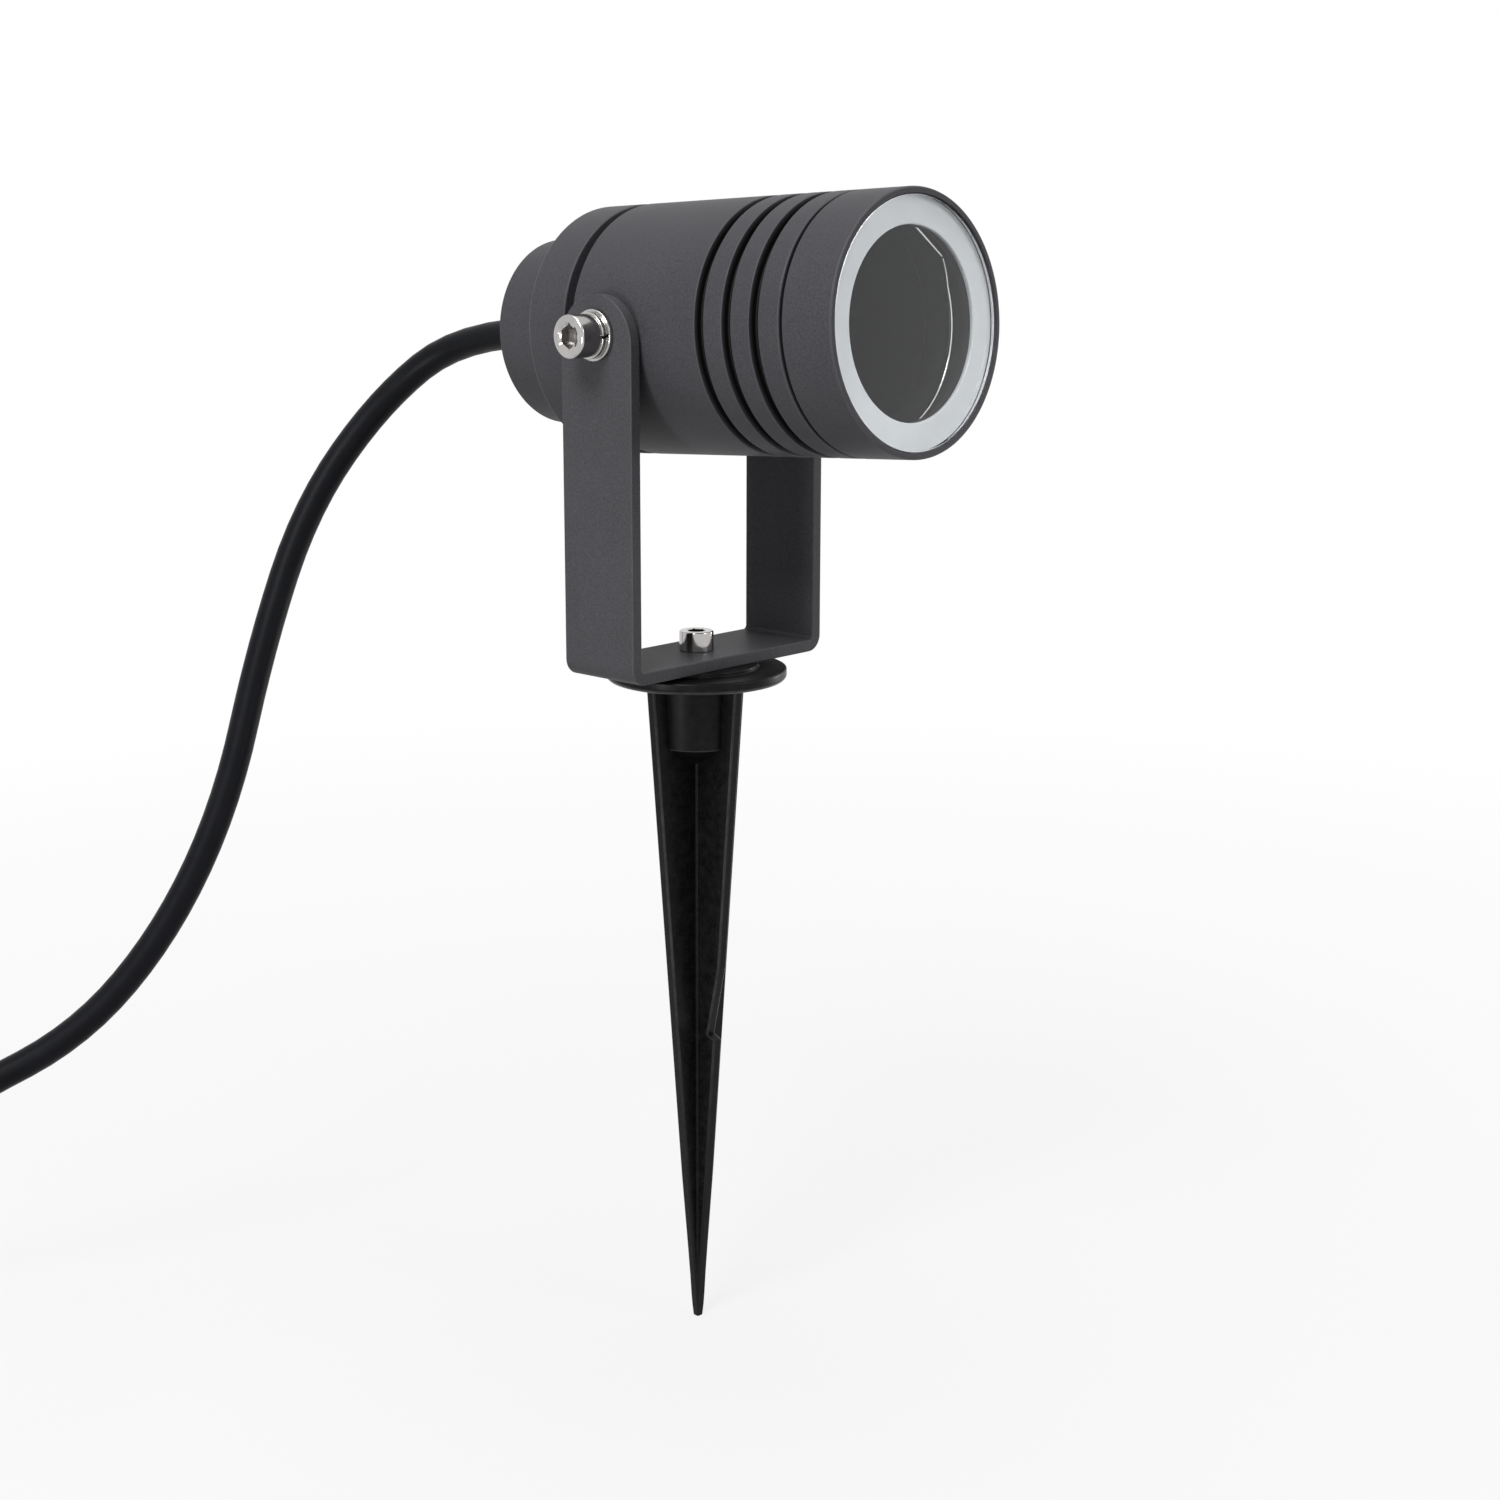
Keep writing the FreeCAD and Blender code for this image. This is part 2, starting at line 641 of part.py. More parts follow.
def make_barrel():
    """The finned barrel: bore for the lamp, two threaded ends and a spot face on each side."""
    thread = spigot_radius + thread_clearance
    rear_thread_end = rear_face + rear_groove + rear_spigot_length + edge_break
    front_thread_end = bezel_rear - bezel_spigot_length - edge_break
    edge = head_radius - edge_break
    outline = [(bore_radius, rear_thread_end), (thread, rear_thread_end), (thread, barrel_rear),
               (edge, barrel_rear), (head_radius, barrel_rear + edge_break)]
    for groove in range(FIN_GROOVES):
        near_side = first_fin_groove + fin_groove_pitch * groove
        far_side = near_side + fin_groove_width
        bottom = head_radius - fin_groove_depth
        outline += [(head_radius, near_side), (bottom, near_side),
                    (bottom, far_side), (head_radius, far_side)]
    outline += [(head_radius, barrel_front - edge_break), (edge, barrel_front),
                (spigot_radius + o_ring_thickness, barrel_front),
                (spigot_radius + o_ring_thickness, barrel_front - o_ring_thickness / 2),
                (thread, barrel_front - o_ring_thickness / 2),
                (thread, front_thread_end), (bore_radius, front_thread_end)]
    body = turned("barrel", outline, head_place())
    holes = sketch_on(body, "YZ_Plane", "side_screw_holes")
    circle(holes, 0, pivot_station, side_screw_radius + running_clearance)
    pocket(body, holes, head_radius * 3, both_ways=True)
    for name, upwards in (("spot_face_left", True), ("spot_face_right", False)):
        face = sketch_on(body, "YZ_Plane", name)
        offset = (head_radius - spot_face_depth) * (-1 if upwards else 1)
        face.AttachmentOffset = Placement(Vector(0, 0, float(offset)), Rotation())
        face.setExpression("AttachmentOffset.Base.z", offset.formula)
        circle(face, 0, pivot_station, spot_face_radius)
        pocket(body, face, spot_face_depth * 2, upwards=not upwards)
    return body


def make_rear_cover():
    """The screwed-on back: a ring as wide as the barrel, stepped down to the end cap."""
    inner_cap = cap_radius - cap_wall
    inner_ring = spigot_radius - cap_wall
    step = cap_length + cap_wall
    spigot_end = barrel_rear + rear_spigot_length
    groove_low, groove_high = rear_o_ring - o_ring_thickness / 2, rear_o_ring + o_ring_thickness / 2
    groove_bottom = spigot_radius - o_ring_thickness
    body = turned("rear_cover", [
        (gland_thread_radius + seat_clearance, 0), (cap_radius - edge_break * 2, 0),
        (cap_radius, edge_break * 2), (cap_radius, cap_length),
        (head_radius - edge_break * 2, cap_length), (head_radius, cap_length + edge_break * 2),
        (head_radius, rear_face - edge_break), (head_radius - edge_break, rear_face),
        (spigot_radius, rear_face), (spigot_radius, groove_low), (groove_bottom, groove_low),
        (groove_bottom, groove_high), (spigot_radius, groove_high),
        (spigot_radius, spigot_end), (inner_ring, spigot_end),
        (inner_ring, step), (inner_cap, step), (inner_cap, rear_wall),
        (gland_thread_radius + seat_clearance, rear_wall)], head_place())
    posts = raised_sketch(body, "post_outlines", step)
    top = holder_seat - strap_thickness
    spots = [(-strap_screw_offset, 0), (strap_screw_offset, 0), (0, -strap_screw_offset)]
    for x, y in spots:
        circle(posts, x, y, post_radius)
    pad = body.newObject("PartDesign::Pad", "posts")
    pad.Profile = posts
    pad.Length = float(top - step)
    pad.setExpression("Length", (top - step).formula)
    holes = raised_sketch(body, "post_holes", top)
    for x, y in spots:
        circle(holes, x, y, small_screw_radius + seat_clearance)
    pocket(body, holes, top - step)
    return body


def make_bezel():
    """The front ring: screws into the barrel and carries the glass on an inner shelf."""
    edge = edge_break
    spigot_end = bezel_rear - bezel_spigot_length
    seat = glass_radius + glass_clearance
    shelf_front = gasket_back - seat_clearance
    wire_low = wire_ring_station - wire_ring_thickness / 2
    wire_high = wire_ring_station + wire_ring_thickness / 2
    wire_deep = wire_ring_radius + wire_ring_thickness / 2 + seat_clearance
    return turned("front_bezel", [
        (bore_radius, spigot_end), (spigot_radius, spigot_end), (spigot_radius, bezel_rear),
        (head_radius - edge, bezel_rear), (head_radius, bezel_rear + edge),
        (head_radius, head_length - edge), (head_radius - edge, head_length),
        (seat, head_length), (seat, shelf_front), (gasket_inner + seat_clearance, shelf_front),
        (gasket_inner + seat_clearance, shelf_back), (bore_radius, shelf_back),
        (bore_radius, wire_high), (wire_deep, wire_high), (wire_deep, wire_low),
        (bore_radius, wire_low)], head_place())


def make_glass():
    """The toughened front glass."""
    edge = glass_recess
    return turned("front_glass", [
        (0, glass_back), (glass_radius - edge, glass_back), (glass_radius, glass_back + edge),
        (glass_radius, glass_back + glass_thickness - edge),
        (glass_radius - edge, glass_back + glass_thickness),
        (0, glass_back + glass_thickness)], head_place())


def make_gasket():
    """The flat silicone ring between the glass and its shelf."""
    return turned("glass_gasket", tube_outline(
        gasket_inner, glass_radius, gasket_back, glass_back), head_place())


def make_o_ring(label, station, radius):
    """A round-section sealing ring about the head's axis."""
    ring = doc.addObject("Part::Torus", label)
    ring.Label = label
    ring.setExpression("Radius1", radius.formula)
    ring.setExpression("Radius2", (o_ring_thickness / 2 - thread_clearance).formula)
    ring.Placement = head_place(station)
    return ring


def make_wire_ring():
    """The sprung wire ring that keeps the lamp in, its two ends turned forwards."""
    thick, reach = float(wire_ring_thickness) / 2, float(wire_ring_radius)
    opening, middle = math.radians(float(wire_ring_opening)), math.radians(float(wire_ring_turn))
    start, end = middle + opening / 2, middle - opening / 2 + 2 * math.pi
    marks = [polar(angle) * reach for angle in (start, (start + end) / 2, end)]
    lean, tab = math.radians(float(wire_ring_lean)), float(wire_ring_tab)
    loop = Part.Wire([Part.Arc(*marks).toShape()])
    shapes = [pipe(loop, thick, polar(start + math.pi / 2))]
    for mark in (marks[0], marks[2]):
        forwards = UP * math.cos(lean) - Vector(mark).normalize() * math.sin(lean)
        shapes.append(Part.makeCylinder(thick, tab, mark, forwards))
        shapes.append(Part.makeSphere(thick, mark))
    piece = doc.addObject("Part::Feature", "lamp_retaining_ring")
    piece.Label = "lamp_retaining_ring"
    piece.Shape = shapes[0].multiFuse(shapes[1:])
    piece.Placement = head_place(wire_ring_station)
    return piece


# ---------------------------------------------------------------- lampholder and wiring

def make_lampholder():
    """The ceramic lampholder with two round sockets for the lamp's pins."""
    body = turned("lampholder", [
        (0, 0), (holder_radius, 0), (holder_radius, holder_length - edge_break * 2),
        (holder_radius - edge_break * 2, holder_length), (0, holder_length)],
        head_place(holder_seat))
    holes = raised_sketch(body, "pin_holes", holder_length)
    for side in (-1, 1):
        circle(holes, pin_spacing * side / 2, 0, pin_hole_radius)
    pocket(body, holes, pin_hole_depth)
    mounts = raised_sketch(body, "mounting_holes", holder_length)
    for side in (-1, 1):
        circle(mounts, 0, holder_screw_offset * side, small_cap_radius + running_clearance)
    pocket(body, mounts, small_cap_height)
    threads = raised_sketch(body, "mounting_bores", holder_length - small_cap_height)
    for side in (-1, 1):
        circle(threads, 0, holder_screw_offset * side, small_screw_radius + running_clearance)
    pocket(body, threads, holder_length)
    return body


def make_contacts():
    """The two sprung contacts at the bottom of the pin sockets."""
    bottom = holder_length - pin_hole_depth
    shapes = []
    for side in (-1, 1):
        disc = Part.makeCylinder(float(contact_radius), float(contact_thickness))
        disc.translate(Vector(side * float(pin_spacing) / 2, 0, float(bottom)))
        shapes.append(disc)
    return group("lampholder_contacts", shapes, head_place(holder_seat))


def make_strap():
    """The steel strap that the lampholder stands on."""
    body = new_body("lampholder_strap")
    half_long, half_wide = strap_screw_offset + post_radius, strap_width / 2
    reach = holder_screw_offset + small_cap_radius + edge_break
    sketch = draw(raised_sketch(body, "strap_outline", -strap_thickness), [
        (-half_long, -half_wide), (-strap_arm, -half_wide), (-strap_arm, -reach),
        (strap_arm, -reach), (strap_arm, -half_wide), (half_long, -half_wide),
        (half_long, half_wide), (strap_arm, half_wide), (strap_arm, reach),
        (-strap_arm, reach), (-strap_arm, half_wide), (-half_long, half_wide)])
    pad = body.newObject("PartDesign::Pad", "strap_plate")
    pad.Profile = sketch
    pad.Length = float(strap_thickness)
    pad.setExpression("Length", strap_thickness.formula)
    doc.recompute()
    holes = sketch_on(body, "XY_Plane", "strap_holes")
    for side in (-1, 1):
        circle(holes, strap_screw_offset * side, 0, small_screw_radius + running_clearance)
        circle(holes, 0, holder_screw_offset * side, small_screw_radius - seat_clearance)
    circle(holes, 0, 0, strap_bore)
    pocket(body, holes, strap_thickness * 2)
    body.Placement = head_place(holder_seat)
    return body


def small_screw(length, place):
    """A small slotted cheese head screw at a local place: nought under its head, head along Z."""
    radius, cap, height = float(small_screw_radius), float(small_cap_radius), float(small_cap_height)
    shank = Part.makeCylinder(radius - 2 * float(seat_clearance), float(length),
                              Vector(0, 0, -float(length)))
    head = Part.makeCylinder(cap, height)
    width = float(small_slot_width)
    slot = Part.makeBox(4 * cap, width, height, Vector(-2 * cap, -width / 2, height / 2))
    screw = shank.fuse(head).cut(slot).removeSplitter()
    screw.translate(place)
    return screw


def make_strap_screws():
    """The two screws that hold the strap down on the cover's posts."""
    depth = holder_seat - strap_thickness - cap_length - cap_wall
    return group("strap_screws", [
        small_screw(depth, Vector(side * float(strap_screw_offset), 0, 0)) for side in (-1, 1)],
        head_place(holder_seat))


def make_holder_screws():
    """The two screws that hold the lampholder down on the strap."""
    seat = holder_length - small_cap_height
    return group("holder_screws", [
        small_screw(seat + strap_thickness,
                    Vector(0, side * float(holder_screw_offset), float(seat)))
        for side in (-1, 1)], head_place(holder_seat))


def make_earth_tag():
    """The crimped ring tag of the earth wire, on the cover's third post."""
    thickness = float(tag_thickness)
    ring = Part.makeCylinder(float(tag_radius), thickness)
    lug = Part.makeBox(float(tag_reach), float(tag_radius), thickness,
                       Vector(0, -float(tag_radius) / 2, 0))
    hole = Part.makeCylinder(float(small_screw_radius), thickness)
    tag = doc.addObject("Part::Feature", "earth_tag")
    tag.Label = "earth_tag"
    tag.Shape = ring.fuse(lug).cut(hole).removeSplitter()
    tag.Placement = head_place(holder_seat - strap_thickness, 0, -strap_screw_offset)
    return tag


def make_earth_screw():
    """The screw that clamps the earth tag."""
    depth = holder_seat - strap_thickness - cap_length - cap_wall
    return group("earth_screw", [small_screw(depth, Vector(0, 0, 0))],
                 head_place(holder_seat - strap_thickness + tag_thickness, 0, -strap_screw_offset))


def make_terminal_block():
    """The three-way terminal block between the cable's cores and the lampholder's leads."""
    block = doc.addObject("Part::Box", "terminal_block")
    block.Label = "terminal_block"
    block.setExpression("Length", terminal_width.formula)
    block.setExpression("Width", terminal_depth.formula)
    block.setExpression("Height", terminal_height.formula)
    block.Placement = head_place(terminal_station, -(terminal_width / 2), -(terminal_depth / 2))
    return block


def make_terminal_screws():
    """The terminal block's three clamp screws, their heads proud of its upper side."""
    shapes = []
    for way in (-1, 0, 1):
        foot = Vector(way * float(terminal_pitch), float(terminal_depth) / 2,
                      float(terminal_height) / 2)
        shapes.append(Part.makeCylinder(
            float(clamp_screw_radius), float(clamp_screw_rise), foot, Vector(0, 1, 0)))
    return group("terminal_screws", shapes, head_place(terminal_station))


def make_supply_cores():
    """The cable's three cores, from the end of its sheath into the terminal block."""
    length = terminal_station - gland_stem
    for label, (x, y) in zip(("live_core", "neutral_core", "earth_core"), core_spots()):
        core = doc.addObject("Part::Cylinder", label)
        core.Label = label
        core.setExpression("Radius", wire_radius.formula)
        core.setExpression("Height", length.formula)
        core.Placement = head_place(gland_stem, x, y)


def make_holder_leads():
    """The lampholder's two sleeved leads, through the strap into the terminal block."""
    start = terminal_station + terminal_height
    shapes = []
    for side in (-1, 1):
        shapes.append(Part.makeCylinder(float(wire_radius), float(holder_seat - start),
                                        Vector(side * float(lead_spacing) / 2, 0, 0)))
    return group("holder_leads", shapes, head_place(start))


def make_earth_wire():
    """The earth wire, from the terminal block's lower side to the tag on the third post."""
    bend = float(earth_wire_bend)
    across = float(tag_reach) - float(wire_radius)
    side = float(terminal_depth) / 2
    low = float(terminal_station) + float(terminal_height) / 2
    tag = float(holder_seat) - float(strap_thickness)
    out = float(strap_screw_offset) - float(tag_radius) / 2 + float(wire_radius)
    points = [Vector(across, -side, low), Vector(across, -side - bend, low),
              Vector(across, -out, tag - bend), Vector(across, -out, tag)]
    path, _ = joined_path(points)
    wire = doc.addObject("Part::Feature", "earth_wire")
    wire.Label = "earth_wire"
    wire.Shape = pipe(path, wire_radius, Vector(0, -1, 0))
    wire.Placement = head_place()
    return wire


# ---------------------------------------------------------------- gland and cable

def make_gland_body():
    """The cable gland's body: hexagon collar, thread through the cover and a seal cup."""
    bore = cable_radius + seat_clearance
    body = turned("gland_body", [
        (bore, 0), (gland_thread_radius, 0), (gland_thread_radius, gland_stem),
        (bore, gland_stem)], head_place())
    collar = sketch_on(body, "XY_Plane", "collar_outline")
    draw(collar, hexagon(gland_hex))
    circle(collar, 0, 0, bore)
    pad = body.newObject("PartDesign::Pad", "collar")
    pad.Profile = collar
    pad.Length = float(gland_collar)
    pad.setExpression("Length", gland_collar.formula)
    pad.Reversed = True
    doc.recompute()
    cup = sketch_on(body, "XY_Plane", "cup_outline")
    cup.AttachmentOffset = Placement(Vector(0, 0, -float(gland_collar)), Rotation())
    cup.setExpression("AttachmentOffset.Base.z", (-gland_collar).formula)
    circle(cup, 0, 0, gland_thread_radius - edge_break)
    circle(cup, 0, 0, cable_radius + seal_wall)
    tube = body.newObject("PartDesign::Pad", "cup")
    tube.Profile = cup
    tube.Length = float(cup_length)
    tube.setExpression("Length", cup_length.formula)
    tube.Reversed = True
    doc.recompute()
    return body


def make_gland_seal():
    """The rubber sleeve that the gland's nut squeezes round the cable."""
    return turned("gland_seal", tube_outline(
        cable_radius + seat_clearance, cable_radius + seal_wall - seat_clearance,
        -(gland_collar + seal_length), -gland_collar - seat_clearance), head_place())


def make_gland_nut():
    """The gland's domed nut, which the free cable leaves."""
    back, mouth = -(gland_collar + seat_clearance), -gland_mouth
    outer, inner = gland_hex / 2, cable_radius + seat_clearance
    bore = gland_thread_radius - edge_break + thread_clearance
    cone_end = mouth + gland_nut_wall
    return turned("gland_nut", [
        (bore, back), (outer, back), (outer, mouth + gland_dome, -gland_dome),
        (outer - gland_dome, mouth), (inner, mouth), (inner, cone_end),
        (bore, cone_end + gland_cone)], head_place())


def make_lock_nut():
    """The gland's nut inside the cover."""
    body = new_body("gland_lock_nut")
    outline = raised_sketch(body, "lock_nut_outline", rear_wall)
    draw(outline, hexagon(gland_hex))
    circle(outline, 0, 0, gland_thread_radius + seat_clearance)
    pad = body.newObject("PartDesign::Pad", "lock_nut")
    pad.Profile = outline
    pad.Length = float(lock_nut_thickness)
    pad.setExpression("Length", lock_nut_thickness.formula)
    body.Placement = head_place()
    doc.recompute()
    return body


def make_cable_tail():
    """The stretch of the cable inside the gland and the cover."""
    tail = doc.addObject("Part::Cylinder", "cable_tail")
    tail.Label = "cable_tail"
    tail.setExpression("Radius", cable_radius.formula)
    tail.setExpression("Height", (gland_mouth + gland_stem).formula)
    tail.Placement = head_place(-gland_mouth)
    return tail


def cable_route():
    """The free cable's route, from the gland's mouth to where the coil begins."""
    mouth = pivot - AIM * (float(gland_mouth) + float(pivot_station))
    lying = float(cable_radius) + float(coil_lift)
    return [
        mouth, mouth - AIM * 29.0,
        Vector(-12.5, 104.5, 234), Vector(-31.5, 113.5, 206.5), Vector(-48.5, 113, 170.5),
        Vector(-64, 109.5, 131.5), Vector(-82.5, 113.5, 99), Vector(-103, 124.5, 74),
        Vector(-127.5, 142.5, 59.5), Vector(-154, 156, 41), Vector(-181.5, 161, 19.5),
        Vector(-208, 158, lying), Vector(-232, 150, lying),
    ]


def make_supply_cable(route):
    """The free stretch of the rubber cable."""
    path, radii = joined_path(route)
    print("cable radii", ["%.0f" % r for r in radii], "length %.0f" % path.Length)
    cable = doc.addObject("Part::Feature", "supply_cable")
    cable.Label = "supply_cable"
    cable.Shape = pipe(path, cable_radius, route[1] - route[0])
    section = math.pi * float(cable_radius) ** 2
    print("cable volume over section times length %.4f"
          % (cable.Shape.Volume / (section * path.Length)))
    return cable


def biarc(start, leaving, end, arriving):
    """Two arcs that join two points and are tangent to each other and to both directions."""
    span = end - start
    both = leaving + arriving
    gap = 2 * (1 - leaving.dot(arriving))
    along = span.dot(both)
    reach = (-along + math.sqrt(along ** 2 + gap * span.dot(span))) / gap
    meeting = (start + leaving * reach + end - arriving * reach) * 0.5
    halves = []
    for first, way, last in ((start, leaving, meeting), (end, -arriving, meeting)):
        chord = last - first
        angle = way.getAngle(chord)
        side = way - chord * (way.dot(chord) / chord.dot(chord))
        bulge = (first + last) * 0.5 + side.normalize() * (chord.Length / 2 * math.tan(angle / 2))
        ends = (first, bulge, last) if first is start else (last, bulge, first)
        halves.append(Part.Arc(*ends).toShape())
    return halves


def coil_points(centre, start_angle):
    """Points and directions on the coil at each quarter turn: in, up a layer, and out again."""
    pitch = float(coil_pitch)
    turn_back = COIL_QUARTERS / 2
    points = []
    for quarter in range(COIL_QUARTERS + 1):
        angle = start_angle + quarter * math.pi / 2
        from_back = quarter - turn_back
        radius = float(coil_radius) - pitch * (turn_back - abs(from_back)) / QUARTERS_PER_TURN
        inwards = 0 if quarter in (0, turn_back, COIL_QUARTERS) else math.copysign(1, from_back)
        climb = min(max((from_back + 1) / 2, 0), 1)
        rise = CLIMB_EASE * pitch / math.pi if from_back == 0 else 0
        spoke, ahead = polar(angle), polar(angle + math.pi / 2)
        drift = inwards * pitch / (2 * math.pi)
        way = ahead * radius + spoke * drift + UP * rise
        points.append((centre + spoke * radius + UP * (pitch * climb), way.normalize()))
    return points


def least_gap(path, radius):
    """The least distance between two stretches of the tube, measured on points along it."""
    step = float(radius) / 2
    points = path.discretize(Distance=step)
    skip = int(4 * float(radius) / step) + 2
    closest = min(
        (points[i] - points[j]).Length
        for i in range(0, len(points), 2) for j in range(i + skip, len(points)))
    return closest - 2 * float(radius)


def make_coil(start, way):
    """The put-away part of the cable: one tube wound in two layers, its ends straight."""
    straight = 2 * float(cable_radius)
    left = Vector(-way.y, way.x, 0)
    first = start + way * straight
    centre = first + left * float(coil_radius)
    start_angle = math.atan2(-left.y, -left.x)
    marks = coil_points(centre, start_angle)
    edges = [Part.LineSegment(start, first).toShape()]
    for (here, leaving), (there, arriving) in zip(marks, marks[1:]):
        edges += biarc(here, leaving, there, arriving)
    last, end_way = marks[-1]
    end = last + end_way * straight
    edges.append(Part.LineSegment(last, end).toShape())
    path = Part.Wire(edges)
    print("coil length %.0f, least gap %.2f" % (path.Length, least_gap(path, cable_radius)))
    coil = doc.addObject("Part::Feature", "cable_coil")
    coil.Label = "cable_coil"
    coil.Shape = pipe(path, cable_radius, way)
    section = math.pi * float(cable_radius) ** 2
    print("coil volume over section times length %.4f"
          % (coil.Shape.Volume / (section * path.Length)))
    return centre, start_angle, end, end_way


def make_tie(centre, start_angle):
    """The strap round the coil, where its loops lie two by two."""
    spare = float(tie_clearance)
    pitch, radius = float(coil_pitch), float(cable_radius)
    angle = math.radians(float(tie_angle))
    inner_wide = inner_high = pitch + 2 * radius + 2 * spare
    wall = float(tie_thickness)
    width = float(tie_width)
    blank = Part.makeBox(inner_wide + 2 * wall, width, inner_high + 2 * wall, Vector(0, -width / 2, 0))
    blank = blank.makeFillet(radius, [e for e in blank.Edges if along_y(e)])
    hollow = Part.makeBox(inner_wide, width, inner_high, Vector(wall, -width / 2, wall))
    hollow = hollow.makeFillet(radius - wall, [e for e in hollow.Edges if along_y(e)])
    turns_in = (angle - start_angle) % (2 * math.pi) / (2 * math.pi)
    outer_loop = float(coil_radius) - pitch * turns_in
    low = outer_loop - pitch - radius - spare - wall
    middle = float(cable_radius) + float(coil_lift) + pitch / 2
    corner = centre + polar(angle) * low
    corner.z = middle - inner_high / 2 - wall
    tie = doc.addObject("Part::Feature", "cable_tie")
    tie.Label = "cable_tie"
    tie.Shape = blank.cut(hollow)
    tie.Placement = Placement(corner, Rotation(UP, math.degrees(angle)))
    return tie


def along_y(edge):
    """True for an edge that runs along local Y."""
    span = edge.Vertexes[-1].Point - edge.Vertexes[0].Point
    return abs(span.y) > 0.9 * span.Length


def core_spots():
    """Where three cores lie in the cable's section, each against the other two."""
    spread = float(wire_radius) * 2 / math.sqrt(3) + float(seat_clearance)
    for number in range(3):
        spot = polar(math.pi / 2 + number * 2 * math.pi / 3) * spread
        yield spot.x, spot.y


def make_core_ends(end, way):
    """The three cores that leave the sheath at the cable's far end, and their crimped ferrules."""
    place = Placement(end, Rotation(UP, way))
    bare = float(core_length) - float(ferrule_length)
    ferrules = []
    for label, (x, y) in zip(("live_end", "neutral_end", "earth_end"), core_spots()):
        group(label, [Part.makeCylinder(float(wire_radius), bare, Vector(x, y, 0))], place)
        ferrules.append(Part.makeCylinder(float(ferrule_radius), float(ferrule_length),
                                          Vector(x, y, bare)))
    group("core_ferrules", ferrules, place)


# ---------------------------------------------------------------- build

make_spike()
make_spike_insert()
make_base_screw()
make_bracket()
make_side_screw("side_screw_left", -1)
make_side_screw("side_screw_right", 1)
make_flat_washers()
make_friction_washers()
make_spring_washer("spring_washer_left", -1)
make_spring_washer("spring_washer_right", 1)
make_barrel()
make_rear_cover()
make_bezel()
make_glass()
make_gasket()
make_wire_ring()
make_lampholder()
make_contacts()
make_strap()
make_strap_screws()
make_holder_screws()
make_gland_body()
make_gland_seal()
make_gland_nut()
make_lock_nut()
make_cable_tail()
make_o_ring("rear_o_ring", rear_o_ring, spigot_radius - o_ring_thickness / 2)
make_o_ring("bezel_o_ring", front_o_ring, spigot_radius + o_ring_thickness / 2)
make_terminal_block()
make_terminal_screws()
make_supply_cores()
make_holder_leads()
make_earth_tag()
make_earth_screw()
make_earth_wire()
route = cable_route()
make_supply_cable(route)
last_way = (route[-1] - route[-2]).normalize()
coil_centre, coil_start, coil_end, coil_way = make_coil(route[-1], last_way)
make_tie(coil_centre, coil_start)
make_core_ends(coil_end, coil_way)

# ---------------------------------------------------------------- check and write

doc.recompute()
os.makedirs("parts", exist_ok=True)
pieces = [o for o in doc.Objects if o.InList == [] and o.isDerivedFrom("Part::Feature")]
for item in doc.Objects:
    if "Invalid" in item.State or "Error" in item.State:
        raise RuntimeError("failed: " + item.Name)
for piece in pieces:
    if piece.Shape.isNull() or not piece.Shape.isValid() or not piece.Shape.Solids:
        raise RuntimeError("bad shape: " + piece.Label)
for piece in pieces:
    piece.Shape.exportStep("parts/%s.step" % piece.Label)
print("pieces", len(pieces))
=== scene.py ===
"""The looks of the garden spike spotlight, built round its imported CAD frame.

Turned and bent pieces are drawn in millimetres, as on the bench drawing, and their meshes are
written in metres. The cable's route is in metres, as in the part's source.
"""

import json
import logging
import math
from dataclasses import dataclass, field
from enum import Enum
from typing import Callable, Sequence

import bmesh
import bpy
from mathutils import Matrix, Vector

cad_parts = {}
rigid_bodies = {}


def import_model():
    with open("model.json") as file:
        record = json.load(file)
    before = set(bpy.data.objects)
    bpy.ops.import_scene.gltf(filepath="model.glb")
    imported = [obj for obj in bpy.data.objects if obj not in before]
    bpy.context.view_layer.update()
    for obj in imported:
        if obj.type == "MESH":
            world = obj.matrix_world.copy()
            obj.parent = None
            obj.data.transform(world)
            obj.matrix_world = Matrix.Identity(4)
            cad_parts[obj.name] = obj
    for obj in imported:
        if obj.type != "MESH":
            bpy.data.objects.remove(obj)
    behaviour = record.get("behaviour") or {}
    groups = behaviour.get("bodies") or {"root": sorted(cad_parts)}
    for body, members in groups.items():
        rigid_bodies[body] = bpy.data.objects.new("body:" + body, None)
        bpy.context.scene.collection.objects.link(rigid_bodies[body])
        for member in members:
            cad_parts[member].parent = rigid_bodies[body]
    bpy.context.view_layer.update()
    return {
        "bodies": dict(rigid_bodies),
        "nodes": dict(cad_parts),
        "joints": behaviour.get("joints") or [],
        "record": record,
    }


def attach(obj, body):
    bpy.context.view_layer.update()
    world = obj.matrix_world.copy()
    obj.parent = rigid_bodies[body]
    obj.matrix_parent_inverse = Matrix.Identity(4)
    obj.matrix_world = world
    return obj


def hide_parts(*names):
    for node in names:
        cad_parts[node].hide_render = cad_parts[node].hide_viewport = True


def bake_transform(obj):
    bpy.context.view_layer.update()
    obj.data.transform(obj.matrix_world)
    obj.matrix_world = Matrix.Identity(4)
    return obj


LOG = logging.getLogger("spike_spotlight")
MM = 0.001
FULL_TURN = 2 * math.pi
NO_LENGTH = 1e-9
SAME_PLACE = 1e-7
STRAIGHT_ON = 0.04
ROUNDED_SHARE = 0.46
ARC_STEP = math.radians(18)
LARGE_RING = 192
MIDDLE_RING = 160
WASHER_RING = 96
SMALL_RING = 64

Triple = tuple[float, float, float]
Colour = Triple
Corner = tuple[float, ...]
Socket = bpy.types.NodeSocket


